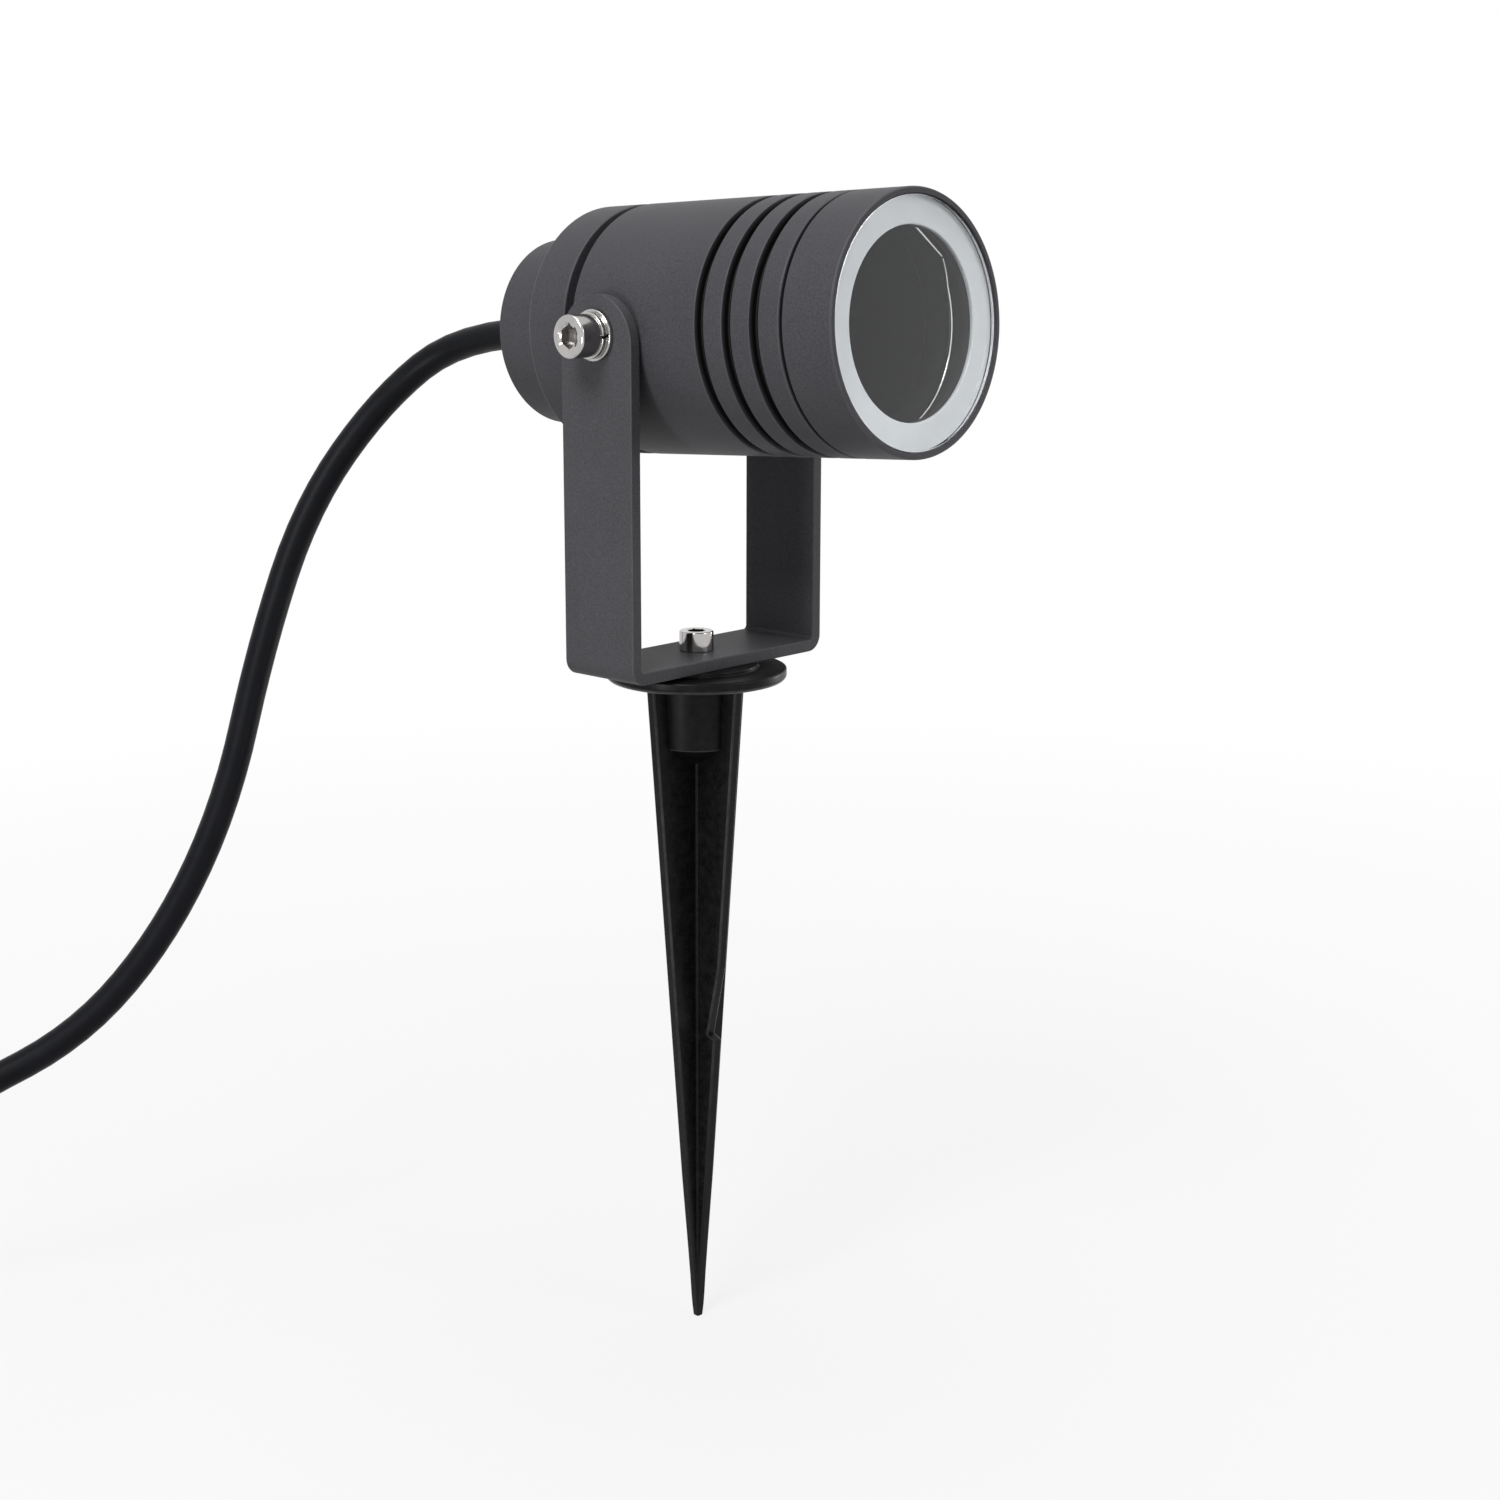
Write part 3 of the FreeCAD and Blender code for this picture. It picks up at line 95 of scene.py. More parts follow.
class Body(Enum):
    """The bodies of the frame that pieces ride on."""

    SPIKE = "spike"
    BASE_SCREW = "base_screw"
    BRACKET = "bracket"
    LEFT_SCREW = "side_screw_left"
    RIGHT_SCREW = "side_screw_right"
    GLAZING = "glazing"
    BEZEL = "bezel"
    HEAD = "head"


class Carving(Enum):
    """The ways in which one shell changes another."""

    ADD = "UNION"
    CUT = "DIFFERENCE"


# ---- outlines and shells

def softened(corners: Sequence[Corner], soft: float, closed: bool) -> list[tuple[float, float]]:
    """Round the corners of an outline.

    Args:
        corners: points as (x, y), or (x, y, radius) where a corner has its own rounding.
        soft: the rounding of every other corner, in millimetres.
        closed: whether the outline returns to its first point.

    Returns:
        The outline's points, with arcs in place of its corners.
    """
    spots: list[tuple[float, float]] = []
    count = len(corners)
    for number, corner in enumerate(corners):
        here = Vector(corner[:2])
        radius = corner[2] if len(corner) > 2 else soft
        at_end = not closed and number in (0, count - 1)
        into = here - Vector(corners[number - 1][:2])
        out = Vector(corners[(number + 1) % count][:2]) - here
        sharp = at_end or radius <= 0 or min(into.length, out.length) < NO_LENGTH
        turn = 0.0 if sharp else into.angle_signed(out)
        if abs(turn) < STRAIGHT_ON:
            spots.append((here.x, here.y))
            continue
        reach = min(radius * math.tan(abs(turn) / 2), ROUNDED_SHARE * into.length,
                    ROUNDED_SHARE * out.length)
        radius = reach / math.tan(abs(turn) / 2)
        start = here - into.normalized() * reach
        side = Vector((-into.y, into.x)).normalized() * (-math.copysign(radius, turn))
        centre = start + side
        steps = max(3, math.ceil(abs(turn) / ARC_STEP))
        for step in range(steps + 1):
            arm = Vector((start.x - centre.x, start.y - centre.y))
            arm.rotate(Matrix.Rotation(-turn * step / steps, 2))
            spots.append((centre.x + arm.x, centre.y + arm.y))
    return spots


def polar(radius: float, angle: float, height: float = 0.0) -> Vector:
    """A point at a radius and an angle round local Z."""
    return Vector((radius * math.cos(angle), radius * math.sin(angle), height))


class Shell:
    """A mesh in the making: points in millimetres, and the faces between them."""

    def __init__(self) -> None:
        """Start with no points and no faces."""
        self.points: list[Vector] = []
        self.faces: list[tuple[int, ...]] = []

    def add_ring(self, ring: Sequence[Vector]) -> list[int]:
        """Add points and return their numbers.

        Args:
            ring: the points.

        Returns:
            Their numbers.
        """
        first = len(self.points)
        self.points.extend(Vector(p) for p in ring)
        return list(range(first, len(self.points)))

    def bridge(self, one: Sequence[int], other: Sequence[int]) -> None:
        """Join two rings with faces; a ring of one point closes to a fan.

        Args:
            one: the first ring's numbers.
            other: the next ring's numbers.
        """
        count = max(len(one), len(other))
        for k in range(count):
            after = (k + 1) % count
            if len(one) == 1:
                self.faces.append((one[0], other[after], other[k]))
            elif len(other) == 1:
                self.faces.append((one[k], one[after], other[0]))
            else:
                self.faces.append((one[k], one[after], other[after], other[k]))

    @classmethod
    def lofted(cls, rings: Sequence[Sequence[Vector]], closed: bool = False,
               capped: bool = False) -> "Shell":
        """Join rings of points in order.

        Args:
            rings: the rings, each with the same number of points or with a single one.
            closed: whether the last ring joins the first.
            capped: whether the first and last rings get a flat face.

        Returns:
            The shell.
        """
        shell = cls()
        numbers = [shell.add_ring(ring) for ring in rings]
        for one, other in zip(numbers, numbers[1:]):
            shell.bridge(one, other)
        if closed:
            shell.bridge(numbers[-1], numbers[0])
        if capped:
            shell.faces.append(tuple(reversed(numbers[0])))
            shell.faces.append(tuple(numbers[-1]))
        return shell

    @classmethod
    def turned(cls, corners: Sequence[Corner], soft: float = 0.2, closed: bool = True,
               segments: int = MIDDLE_RING,
               shape: Callable[[float, float, float], float] | None = None) -> "Shell":
        """Spin an outline of (radius, station) about local Z.

        Args:
            corners: the half section, from axis to axis where it isn't closed.
            soft: rounding of the corners that name none.
            closed: whether the half section is a closed loop.
            segments: steps round the axis.
            shape: gives the radius at (radius, station, angle), for hexagons and flutes.

        Returns:
            The turned shell.
        """
        rings = []
        for radius, station in softened(corners, soft, closed):
            if radius < SAME_PLACE:
                rings.append([Vector((0, 0, station))])
                continue
            ring = []
            for k in range(segments):
                angle = FULL_TURN * k / segments
                reach = shape(radius, station, angle) if shape else radius
                ring.append(polar(reach, angle, station))
            rings.append(ring)
        return cls.lofted(rings, closed=closed)

    @classmethod
    def swept(cls, path: Sequence[Vector], radius: float, sides: int = 16) -> "Shell":
        """A round tube along points, its ends closed.

        Args:
            path: the points that its middle follows.
            radius: its radius.
            sides: points round the tube.

        Returns:
            The tube's shell.
        """
        ahead = [*path[1:], path[-1]]
        behind = [path[0], *path[:-1]]
        ways = [(after - before).normalized() for after, before in zip(ahead, behind)]
        across = ways[0].orthogonal().normalized()
        rings = []
        for spot, way in zip(path, ways):
            across = (across - way * across.dot(way)).normalized()
            upright = way.cross(across)
            rings.append([spot + across * (math.cos(FULL_TURN * s / sides) * radius)
                          + upright * (math.sin(FULL_TURN * s / sides) * radius)
                          for s in range(sides)])
        return cls.lofted(rings, capped=True)

    def placed(self, matrix: Matrix) -> "Shell":
        """Move every point by a matrix and return the shell."""
        self.points = [matrix @ p for p in self.points]
        return self

    def joined(self, other: "Shell") -> "Shell":
        """Take in another shell's points and faces, and return this one.

        Args:
            other: the shell to take in.

        Returns:
            This shell.
        """
        first = len(self.points)
        self.points += other.points
        self.faces += [tuple(n + first for n in face) for face in other.faces]
        return self

    def mesh(self, name: str, scale: float = MM) -> bpy.types.Mesh:
        """Write the shell as a mesh in metres, its faces turned outwards.

        Args:
            name: the mesh's name.
            scale: metres to a unit of the shell.

        Returns:
            The mesh.
        """
        mesh = bpy.data.meshes.new(name)
        mesh.from_pydata([tuple(p * scale) for p in self.points], [], self.faces)
        bm = bmesh.new()
        bm.from_mesh(mesh)
        bmesh.ops.remove_doubles(bm, verts=bm.verts, dist=SAME_PLACE)
        bmesh.ops.recalc_face_normals(bm, faces=bm.faces)
        bm.to_mesh(mesh)
        bm.free()
        return mesh


def leaning(share: float) -> bool:
    """Whether a normal's share of an axis is that of a softened edge."""
    return 0.3 < abs(share) < 0.93


def hexagon_reach(across_flats: float, angle: float) -> float:
    """The reach of a hexagon's side at an angle; a corner points at angle nought."""
    sector = math.radians(60)
    return across_flats / 2 / math.cos(angle % sector - sector / 2)


def mixed(tree: bpy.types.NodeTree, factor: Socket, one: Socket, other: Socket) -> Socket:
    """Mix two shaders of a node tree by a factor.

    Args:
        tree: the node tree.
        factor: nought for the first shader, one for the other.
        one: the first shader.
        other: the other shader.

    Returns:
        The mixed shader.
    """
    mix = tree.nodes.new("ShaderNodeMixShader")
    for number, source in enumerate((factor, one, other)):
        tree.links.new(source, mix.inputs[number])
    return mix.outputs["Shader"]


# ---- finishes

class Nodes:
    """A short way to lay out one material's nodes."""

    def __init__(self, name: str) -> None:
        """Start a material with a Principled shader and object coordinates.

        Args:
            name: the material's name.
        """
        self.material = bpy.data.materials.new(name)
        self.material.use_nodes = True
        self.tree = self.material.node_tree
        self.shader = self.tree.nodes["Principled BSDF"]
        self.output = self.tree.nodes["Material Output"]
        self.where = self.tree.nodes.new("ShaderNodeTexCoord").outputs["Object"]

    def add(self, kind: str, **values: object) -> bpy.types.Node:
        """A new node; values set its own properties.

        Args:
            kind: Blender's name of the node.
            values: its own properties.

        Returns:
            The node.
        """
        node = self.tree.nodes.new(kind)
        for key, value in values.items():
            setattr(node, key, value)
        return node

    def link(self, source: Socket, target: Socket) -> None:
        """Join an output to an input."""
        self.tree.links.new(source, target)

    def noise(self, size: float, detail: float = 2.0, rough: float = 0.5) -> Socket:
        """Noise with features of a size in metres.

        Args:
            size: the size of a feature.
            detail: how many finer layers there are.
            rough: how strong they are.

        Returns:
            A factor about one half.
        """
        node = self.add("ShaderNodeTexNoise")
        for name, value in (("Scale", 1 / size), ("Detail", detail), ("Roughness", rough)):
            node.inputs[name].default_value = value
        self.link(self.where, node.inputs["Vector"])
        return node.outputs["Fac"]

    def vector(self, operation: str, source: Socket, other: Triple | None = None) -> Socket:
        """Work on a vector, with a fixed second one where it is given.

        Args:
            operation: the operation's name.
            source: the vector.
            other: the second vector.

        Returns:
            The new vector, or a number from a dot product or a length.
        """
        node = self.add("ShaderNodeVectorMath", operation=operation)
        self.link(source, node.inputs[0])
        if other is not None:
            node.inputs[1].default_value = other
        number = operation in ("DOT_PRODUCT", "LENGTH")
        return node.outputs["Value" if number else "Vector"]

    def spread(self, source: Socket, low: float, high: float, start: float = 0.3,
               end: float = 0.7) -> Socket:
        """Carry a value from start..end to low..high.

        Args:
            source: the value.
            low: the result at start.
            high: the result at end.
            start: the lowest value that counts.
            end: the highest value that counts.

        Returns:
            The result, which stops at low and high.
        """
        node = self.add("ShaderNodeMapRange")
        for name, value in (("From Min", start), ("From Max", end),
                            ("To Min", low), ("To Max", high)):
            node.inputs[name].default_value = value
        self.link(source, node.inputs["Value"])
        return node.outputs["Result"]

    def blend(self, factor: Socket, one: Colour | Socket, other: Colour | Socket) -> Socket:
        """Mix two colours by a factor.

        Args:
            factor: nought for the first colour, one for the other.
            one: the first colour.
            other: the other colour.

        Returns:
            The mixed colour.
        """
        node = self.add("ShaderNodeMix", data_type="RGBA")
        self.link(factor, node.inputs["Factor"])
        for name, value in (("A", one), ("B", other)):
            if isinstance(value, tuple):
                node.inputs[name].default_value = (*value, 1)
            else:
                self.link(value, node.inputs[name])
        return node.outputs["Result"]

    def tinted(self, one: Socket, other: Socket) -> Socket:
        """One colour multiplied by another.

        Args:
            one: the colour.
            other: its tint.

        Returns:
            The tinted colour.
        """
        node = self.add("ShaderNodeMix", data_type="RGBA", blend_type="MULTIPLY")
        node.inputs["Factor"].default_value = 1.0
        self.link(one, node.inputs["A"])
        self.link(other, node.inputs["B"])
        return node.outputs["Result"]

    def product(self, one: Socket, other: Socket) -> Socket:
        """One number multiplied by another.

        Args:
            one: the first number.
            other: the second number.

        Returns:
            Their product.
        """
        node = self.add("ShaderNodeMath", operation="MULTIPLY")
        self.link(one, node.inputs[0])
        self.link(other, node.inputs[1])
        return node.outputs["Value"]

    def ramp(self, source: Socket, stops: Sequence[tuple[float, float]]) -> Socket:
        """Carry a share to greys at given places.

        Args:
            source: the share.
            stops: pairs of a share and its grey.

        Returns:
            The grey.
        """
        node = self.add("ShaderNodeValToRGB")
        elements = node.color_ramp.elements
        while len(elements) < len(stops):
            elements.new(1.0)
        for element, (place, value) in zip(elements, stops):
            element.position, element.color = place, (value, value, value, 1)
        self.link(source, node.inputs["Fac"])
        return node.outputs["Color"]

    def bump(self, source: Socket, depth: float, over: Socket | None = None) -> Socket:
        """Turn a height into a normal, on top of another where one is given.

        Args:
            source: the height, from nought to one.
            depth: the height of one, in metres.
            over: the normal below.

        Returns:
            The normal.
        """
        node = self.add("ShaderNodeBump")
        node.inputs["Strength"].default_value = 1.0
        node.inputs["Distance"].default_value = depth
        self.link(source, node.inputs["Height"])
        if over is not None:
            self.link(over, node.inputs["Normal"])
        return node.outputs["Normal"]

    def set(self, **values: float | Colour) -> None:
        """Set the shader's own sockets, underscores standing for spaces.

        Args:
            values: the values, by the names of their sockets.
        """
        for key, value in values.items():
            socket = self.shader.inputs[key.replace("_", " ")]
            socket.default_value = (*value, 1) if isinstance(value, tuple) else value


@dataclass(frozen=True)
class Finish:
    """A surface with a colour that drifts, a roughness that varies and a fine grain.

    Lengths are metres: mottle is the size of the drift, grain that of the relief. Fine holds the
    detail and the roughness of the grain's noise.
    """

    name: str
    colour: Colour
    drift: Colour
    mottle: float = 0.004
    rough: tuple[float, float] = (0.35, 0.45)
    grain: float = 0.0003
    relief: float = 0.00001
    metallic: float = 0.0
    specular: float = 0.5
    coat: float = 0.0
    fine: tuple[float, float] = (3.0, 0.55)

    def tone(self, nodes: Nodes) -> Socket:
        """The colour, which drifts."""
        soft = nodes.noise(self.mottle, 4.0, 0.6)
        return nodes.blend(nodes.spread(soft, 0, 1), self.colour, self.drift)

    def wear(self, nodes: Nodes) -> Socket:
        """The roughness, which varies."""
        return nodes.spread(nodes.noise(self.mottle / 3, 3.0), *self.rough)

    def surface(self, nodes: Nodes) -> Socket:
        """The normal of the fine grain."""
        return nodes.bump(nodes.noise(self.grain, *self.fine), self.relief)

    def material(self) -> bpy.types.Material:
        """Build the finish's material.

        Returns:
            The material.
        """
        nodes = Nodes(self.name)
        for name, source in (("Base Color", self.tone), ("Roughness", self.wear),
                             ("Normal", self.surface)):
            nodes.link(source(nodes), nodes.shader.inputs[name])
        nodes.set(Metallic=self.metallic, Specular_IOR_Level=self.specular,
                  Coat_Weight=self.coat, Coat_Roughness=0.15)
        return nodes.material


@dataclass(frozen=True)
class PowderCoat(Finish):
    """Fine-textured powder coat: small pebbles over a slow orange peel.

    The specks are the tones of the hollows and the tops. Where painted shade darkens the colour,
    the pebbles keep a share of their height and the specks one tone.
    """

    peel: float = 0.0022
    peel_relief: float = 0.00002
    specks: tuple[Colour, Colour] = ((0.76, 0.76, 0.76), (1.18, 1.18, 1.18))
    shaded_pebble_height: float = 0.12
    shaded_speck_tone: Colour = (0.97, 0.97, 0.97)

    def thickness(self, nodes: Nodes) -> Socket | None:
        """The share of full brightness left by painted shade, or None where no shade is painted."""
        return None

    def material(self) -> bpy.types.Material:
        """Build the coat's material.

        Returns:
            The material.
        """
        nodes = Nodes(self.name)
        pebbles = height = nodes.noise(self.grain, 2.5, 0.6)
        tone = self.tone(nodes)
        specks = nodes.blend(nodes.spread(pebbles, 0, 1), *self.specks)
        # Painted shade: darkens the colour in the head's grooves and bore, and flattens and evens
        # its pebbles there.
        shade_share = self.thickness(nodes)
        if shade_share is not None:
            unshaded = nodes.spread(shade_share, 0, 1, 0.5, 1.0)
            height = nodes.product(pebbles, nodes.spread(unshaded, self.shaded_pebble_height, 1, 0, 1))
            specks = nodes.blend(unshaded, self.shaded_speck_tone, specks)
            tone = nodes.tinted(tone, shade_share)
        nodes.link(nodes.tinted(tone, specks), nodes.shader.inputs["Base Color"])
        nodes.link(nodes.spread(pebbles, *self.rough), nodes.shader.inputs["Roughness"])
        slow = nodes.bump(nodes.noise(self.peel), self.peel_relief)
        nodes.link(nodes.bump(height, self.relief, slow), nodes.shader.inputs["Normal"])
        nodes.set(Specular_IOR_Level=self.specular)
        return nodes.material


@dataclass(frozen=True)
class HeadCoat(PowderCoat):
    """The head's coat, with painted shade at the bottom of its grooves and in its bore.

    The axis is a point on it and its way forwards; reach and the joints' stations are metres. The
    bore ends, and the grooves' bottoms begin and end, at shares of the reach.
    """

    axis_point: Triple = (0.0, 0.0442264, 0.25425)
    axis_way: Triple = (0.0, -0.998342, 0.057564)
    joint: float = 0.0984
    cover_joint: float = 0.0300
    change: float = 0.0002
    reach: float = 0.03
    bore_end: tuple[float, float] = (0.872, 0.89)
    groove_end: tuple[float, float] = (0.955, 0.985)
    # Shares of full brightness left by the painted shade in the bore and at the grooves' bottoms.
    bore_shade: float = 0.5
    groove_shade: float = 0.12

    def thickness(self, nodes: Nodes) -> Socket:
        """Lay out the painted shade by the distance from the head's axis.

        Args:
            nodes: the material being laid out.

        Returns:
            The share of full brightness that the painted shade leaves.
        """
        from_point = nodes.vector("SUBTRACT", nodes.where, self.axis_point)
        across = nodes.vector("CROSS_PRODUCT", from_point, self.axis_way)
        station = nodes.vector("DOT_PRODUCT", from_point, self.axis_way)
        share = nodes.spread(nodes.vector("LENGTH", across), 0, 1, 0, self.reach)
        inner, outer = self.bore_end
        bottom, rim = self.groove_end
        # Painted shade: grooves' bottoms and bore from the cover's joint to the bezel, only the
        # bore in front of it, none behind it.
        grooved = nodes.ramp(share, ((inner, self.bore_shade), (outer, self.groove_shade),
                                     (bottom, self.groove_shade), (rim, 1.0)))
        plain = nodes.ramp(share, ((inner, self.bore_shade), (outer, 1.0)))
        whole = nodes.ramp(share, ((0.0, 1.0), (1.0, 1.0)))
        front, back = (nodes.spread(station, 0, 1, joint, joint + self.change)
                       for joint in (self.joint, self.cover_joint))
        return nodes.blend(back, whole, nodes.blend(front, grooved, plain))


@dataclass(frozen=True)
class MouldedPlastic(Finish):
    """Moulded plastic, mottled on its ribs and glossier above a height in metres."""

    smooth_above: float = 0.153
    change: float = 0.004
    gloss: float = 0.33
    fine: tuple[float, float] = (4.0, 0.6)

    def lower(self, nodes: Nodes) -> Socket:
        """One on the ribs, nought on the boss and the flange."""
        height = nodes.vector("DOT_PRODUCT", nodes.where, (0, 0, 1))
        return nodes.spread(height, 1, 0, self.smooth_above - self.change, self.smooth_above)

    def wear(self, nodes: Nodes) -> Socket:
        """The roughness, even where the plastic is glossy.

        Args:
            nodes: the material being laid out.

        Returns:
            The roughness.
        """
        dull = nodes.add("ShaderNodeMix", data_type="FLOAT")
        nodes.link(self.lower(nodes), dull.inputs["Factor"])
        dull.inputs["A"].default_value = self.gloss
        nodes.link(super().wear(nodes), dull.inputs["B"])
        return dull.outputs["Result"]

    def surface(self, nodes: Nodes) -> Socket:
        """The normal, flat where the plastic is glossy."""
        uneven = nodes.product(nodes.noise(self.grain, *self.fine), self.lower(nodes))
        return nodes.bump(uneven, self.relief)


@dataclass(frozen=True)
class EdgeHighlight(Finish):
    """Moulded plastic with a painted highlight, paler on its edges, fading out towards the spike's
    tip.
    """

    plain: Colour = (0.004, 0.004, 0.0042)
    plain_below: float = 0.035
    highlight_above: float = 0.1
    fine: tuple[float, float] = (2.0, 0.5)

    def tone(self, nodes: Nodes) -> Socket:
        """The colour of the painted highlight, fading out below a height.

        Args:
            nodes: the material being laid out.

        Returns:
            The colour.
        """
        height = nodes.vector("DOT_PRODUCT", nodes.where, (0, 0, 1))
        highlit = nodes.spread(height, 0, 1, self.plain_below, self.highlight_above)
        return nodes.blend(highlit, self.plain, super().tone(nodes))


@dataclass(frozen=True)
class ClearGlass(Finish):
    """Toughened glass that lets the lamps through, tinted by its drift, to what is behind it."""

    reflected: Colour = (0.3, 0.3, 0.32)

    def material(self) -> bpy.types.Material:
        """Build the glass's material.

        Returns:
            The material.
        """
        nodes = Nodes(self.name)
        smear = nodes.noise(self.mottle)
        nodes.link(nodes.bump(smear, self.relief), nodes.shader.inputs["Normal"])
        nodes.set(Base_Color=self.colour, Roughness=self.rough[0], Transmission_Weight=1.0, IOR=1.5,
                  Specular_Tint=self.reflected)
        clear = nodes.add("ShaderNodeBsdfTransparent")
        clear.inputs["Color"].default_value = (*self.drift, 1)
        path = nodes.add("ShaderNodeLightPath")
        nodes.link(mixed(nodes.tree, path.outputs["Is Shadow Ray"], nodes.shader.outputs["BSDF"],
                         clear.outputs["BSDF"]), nodes.output.inputs["Surface"])
        return nodes.material


@dataclass(frozen=True)
class StripedSleeve(Finish):
    """Green insulation with a yellow stripe along it, above a height in metres."""

    stripe: Colour = (0.75, 0.55, 0.03)
    middle: float = 0.0
    change: float = 0.0001
    fine: tuple[float, float] = (2.0, 0.5)

    def tone(self, nodes: Nodes) -> Socket:
        """The two colours.

        Args:
            nodes: the material being laid out.

        Returns:
            The colour.
        """
        height = nodes.vector("DOT_PRODUCT", nodes.where, (0, 0, 1))
        side = nodes.spread(height, 0, 1, self.middle, self.middle + self.change)
        return nodes.blend(side, self.colour, self.stripe)


class Palette:
    """Every finish of the light, each made into a material once."""

    body = HeadCoat("body_powder_coat", (0.052, 0.0505, 0.056), (0.047, 0.0455, 0.051),
                    mottle=0.02, rough=(0.46, 0.58), grain=0.00045, relief=0.00002,
                    specular=0.12)
    bracket = PowderCoat("bracket_powder_coat", (0.062, 0.060, 0.066), (0.055, 0.054, 0.059),
                         mottle=0.02, rough=(0.44, 0.56), grain=0.00040, relief=0.00003,
                         specular=0.08)
    # Painted highlight: the coat's softened edges get a paler colour than the coat.
    edge_highlight = Finish("coat_edge_painted_highlight", (0.078, 0.076, 0.082), (0.060, 0.058, 0.064),
                    mottle=0.01, rough=(0.42, 0.52), grain=0.0005, specular=0.12)
    stainless = Finish("polished_stainless", (0.50, 0.485, 0.475), (0.42, 0.41, 0.40),
                       rough=(0.08, 0.16), grain=0.0004, relief=0.000002, metallic=1.0)
    spring = Finish("spring_steel", (0.52, 0.51, 0.49), (0.44, 0.43, 0.42), mottle=0.003,
                    rough=(0.18, 0.30), relief=0.000004, metallic=1.0)
    wire = Finish("bright_wire", (0.86, 0.85, 0.84), (0.76, 0.75, 0.74), mottle=0.003,
                  rough=(0.14, 0.2), relief=0.000001, metallic=1.0)
    spike = MouldedPlastic("moulded_black", (0.0022, 0.0022, 0.0024), (0.0085, 0.0085, 0.0088),
                           mottle=0.0025, rough=(0.22, 0.42), grain=0.0011, relief=0.00004,
                           specular=0.10)
    # Painted highlight on the spike's rib corners and on the lower edges of its flange and boss.
    spike_edge_highlight = EdgeHighlight("moulded_edge_painted_highlight", (0.016, 0.016, 0.0165), (0.036, 0.036, 0.037),
                          rough=(0.2, 0.3), grain=0.0009, relief=0.000012, specular=0.16)
    # Painted shade inside the screws' hexagon sockets: slightly darker on the clamp screws, near
    # black on the base screw.
    light_socket_shade = Finish("socket_light_painted_shade", (0.42, 0.41, 0.40), (0.30, 0.29, 0.28), mottle=0.002,
                         rough=(0.12, 0.2), relief=0.000003, metallic=1.0)
    deep_socket_shade = Finish("socket_painted_shadow", (0.06, 0.058, 0.056), (0.04, 0.039, 0.038), mottle=0.002,
                         rough=(0.3, 0.4), relief=0.000003, metallic=1.0)
    brass = Finish("turned_brass", (0.70, 0.48, 0.20), (0.60, 0.40, 0.16), mottle=0.003,
                   rough=(0.25, 0.35), relief=0.000004, metallic=1.0)
    tin = Finish("tinned_copper", (0.66, 0.65, 0.62), (0.57, 0.56, 0.53), mottle=0.002,
                 rough=(0.28, 0.38), grain=0.0002, relief=0.000004, metallic=1.0)
    cable = Finish("rubber_sheath", (0.0030, 0.0032, 0.0046), (0.0046, 0.0049, 0.0068),
                   mottle=0.009, rough=(0.34, 0.44), grain=0.0007, relief=0.000012,
                   specular=0.09)
    seal = Finish("seal_rubber", (0.012, 0.012, 0.012), (0.018, 0.018, 0.018),
                  rough=(0.5, 0.62), grain=0.0004)
    silicone = Finish("pale_silicone", (0.445, 0.45, 0.475), (0.42, 0.425, 0.45), mottle=0.008,
                      rough=(0.4, 0.5), grain=0.0006, relief=0.000008, specular=0.4)
    nylon = Finish("gland_nylon", (0.015, 0.015, 0.0155), (0.021, 0.021, 0.021), mottle=0.005,
                   rough=(0.34, 0.46), grain=0.0005)
    tie = Finish("tie_nylon", (0.016, 0.016, 0.016), (0.024, 0.024, 0.024), mottle=0.005,
                 rough=(0.30, 0.42), grain=0.0004, relief=0.000008)
    fibre = Finish("red_fibre", (0.16, 0.045, 0.030), (0.12, 0.034, 0.024), mottle=0.002,
                   rough=(0.7, 0.8))
    glass = ClearGlass("clear_glass", (0.985, 1.0, 0.992), (0.93, 0.95, 0.94), mottle=0.03,
                       rough=(0.0, 0.02), relief=0.000001)
    ceramic = Finish("glazed_ceramic", (0.72, 0.69, 0.63), (0.66, 0.63, 0.57), mottle=0.006,
                     rough=(0.22, 0.34), grain=0.0008, coat=0.3)
    terminal = Finish("terminal_plastic", (0.70, 0.69, 0.64), (0.64, 0.63, 0.58), mottle=0.005,
                      rough=(0.38, 0.48), grain=0.0005, relief=0.000006)
    sleeve = Finish("white_sleeve", (0.70, 0.68, 0.62), (0.62, 0.60, 0.55), mottle=0.003,
                    rough=(0.5, 0.6))
    brown = Finish("brown_core", (0.115, 0.042, 0.016), (0.095, 0.034, 0.013), relief=0.000005)
    blue = Finish("blue_core", (0.014, 0.070, 0.30), (0.011, 0.058, 0.26), relief=0.000005)
    earth = StripedSleeve("earth_core_sleeve", (0.03, 0.22, 0.04), (0.03, 0.2, 0.04),
                          mottle=0.012, relief=0.000005)

    def __init__(self) -> None:
        """Start with no material made."""
        self.made: dict[str, bpy.types.Material] = {}

    def of(self, finish: Finish) -> bpy.types.Material:
        """The material of a finish.

        Args:
            finish: the finish.

        Returns:
            Its material, which is made the first time.
        """
        if finish.name not in self.made:
            self.made[finish.name] = finish.material()
        return self.made[finish.name]


# ---- the bench

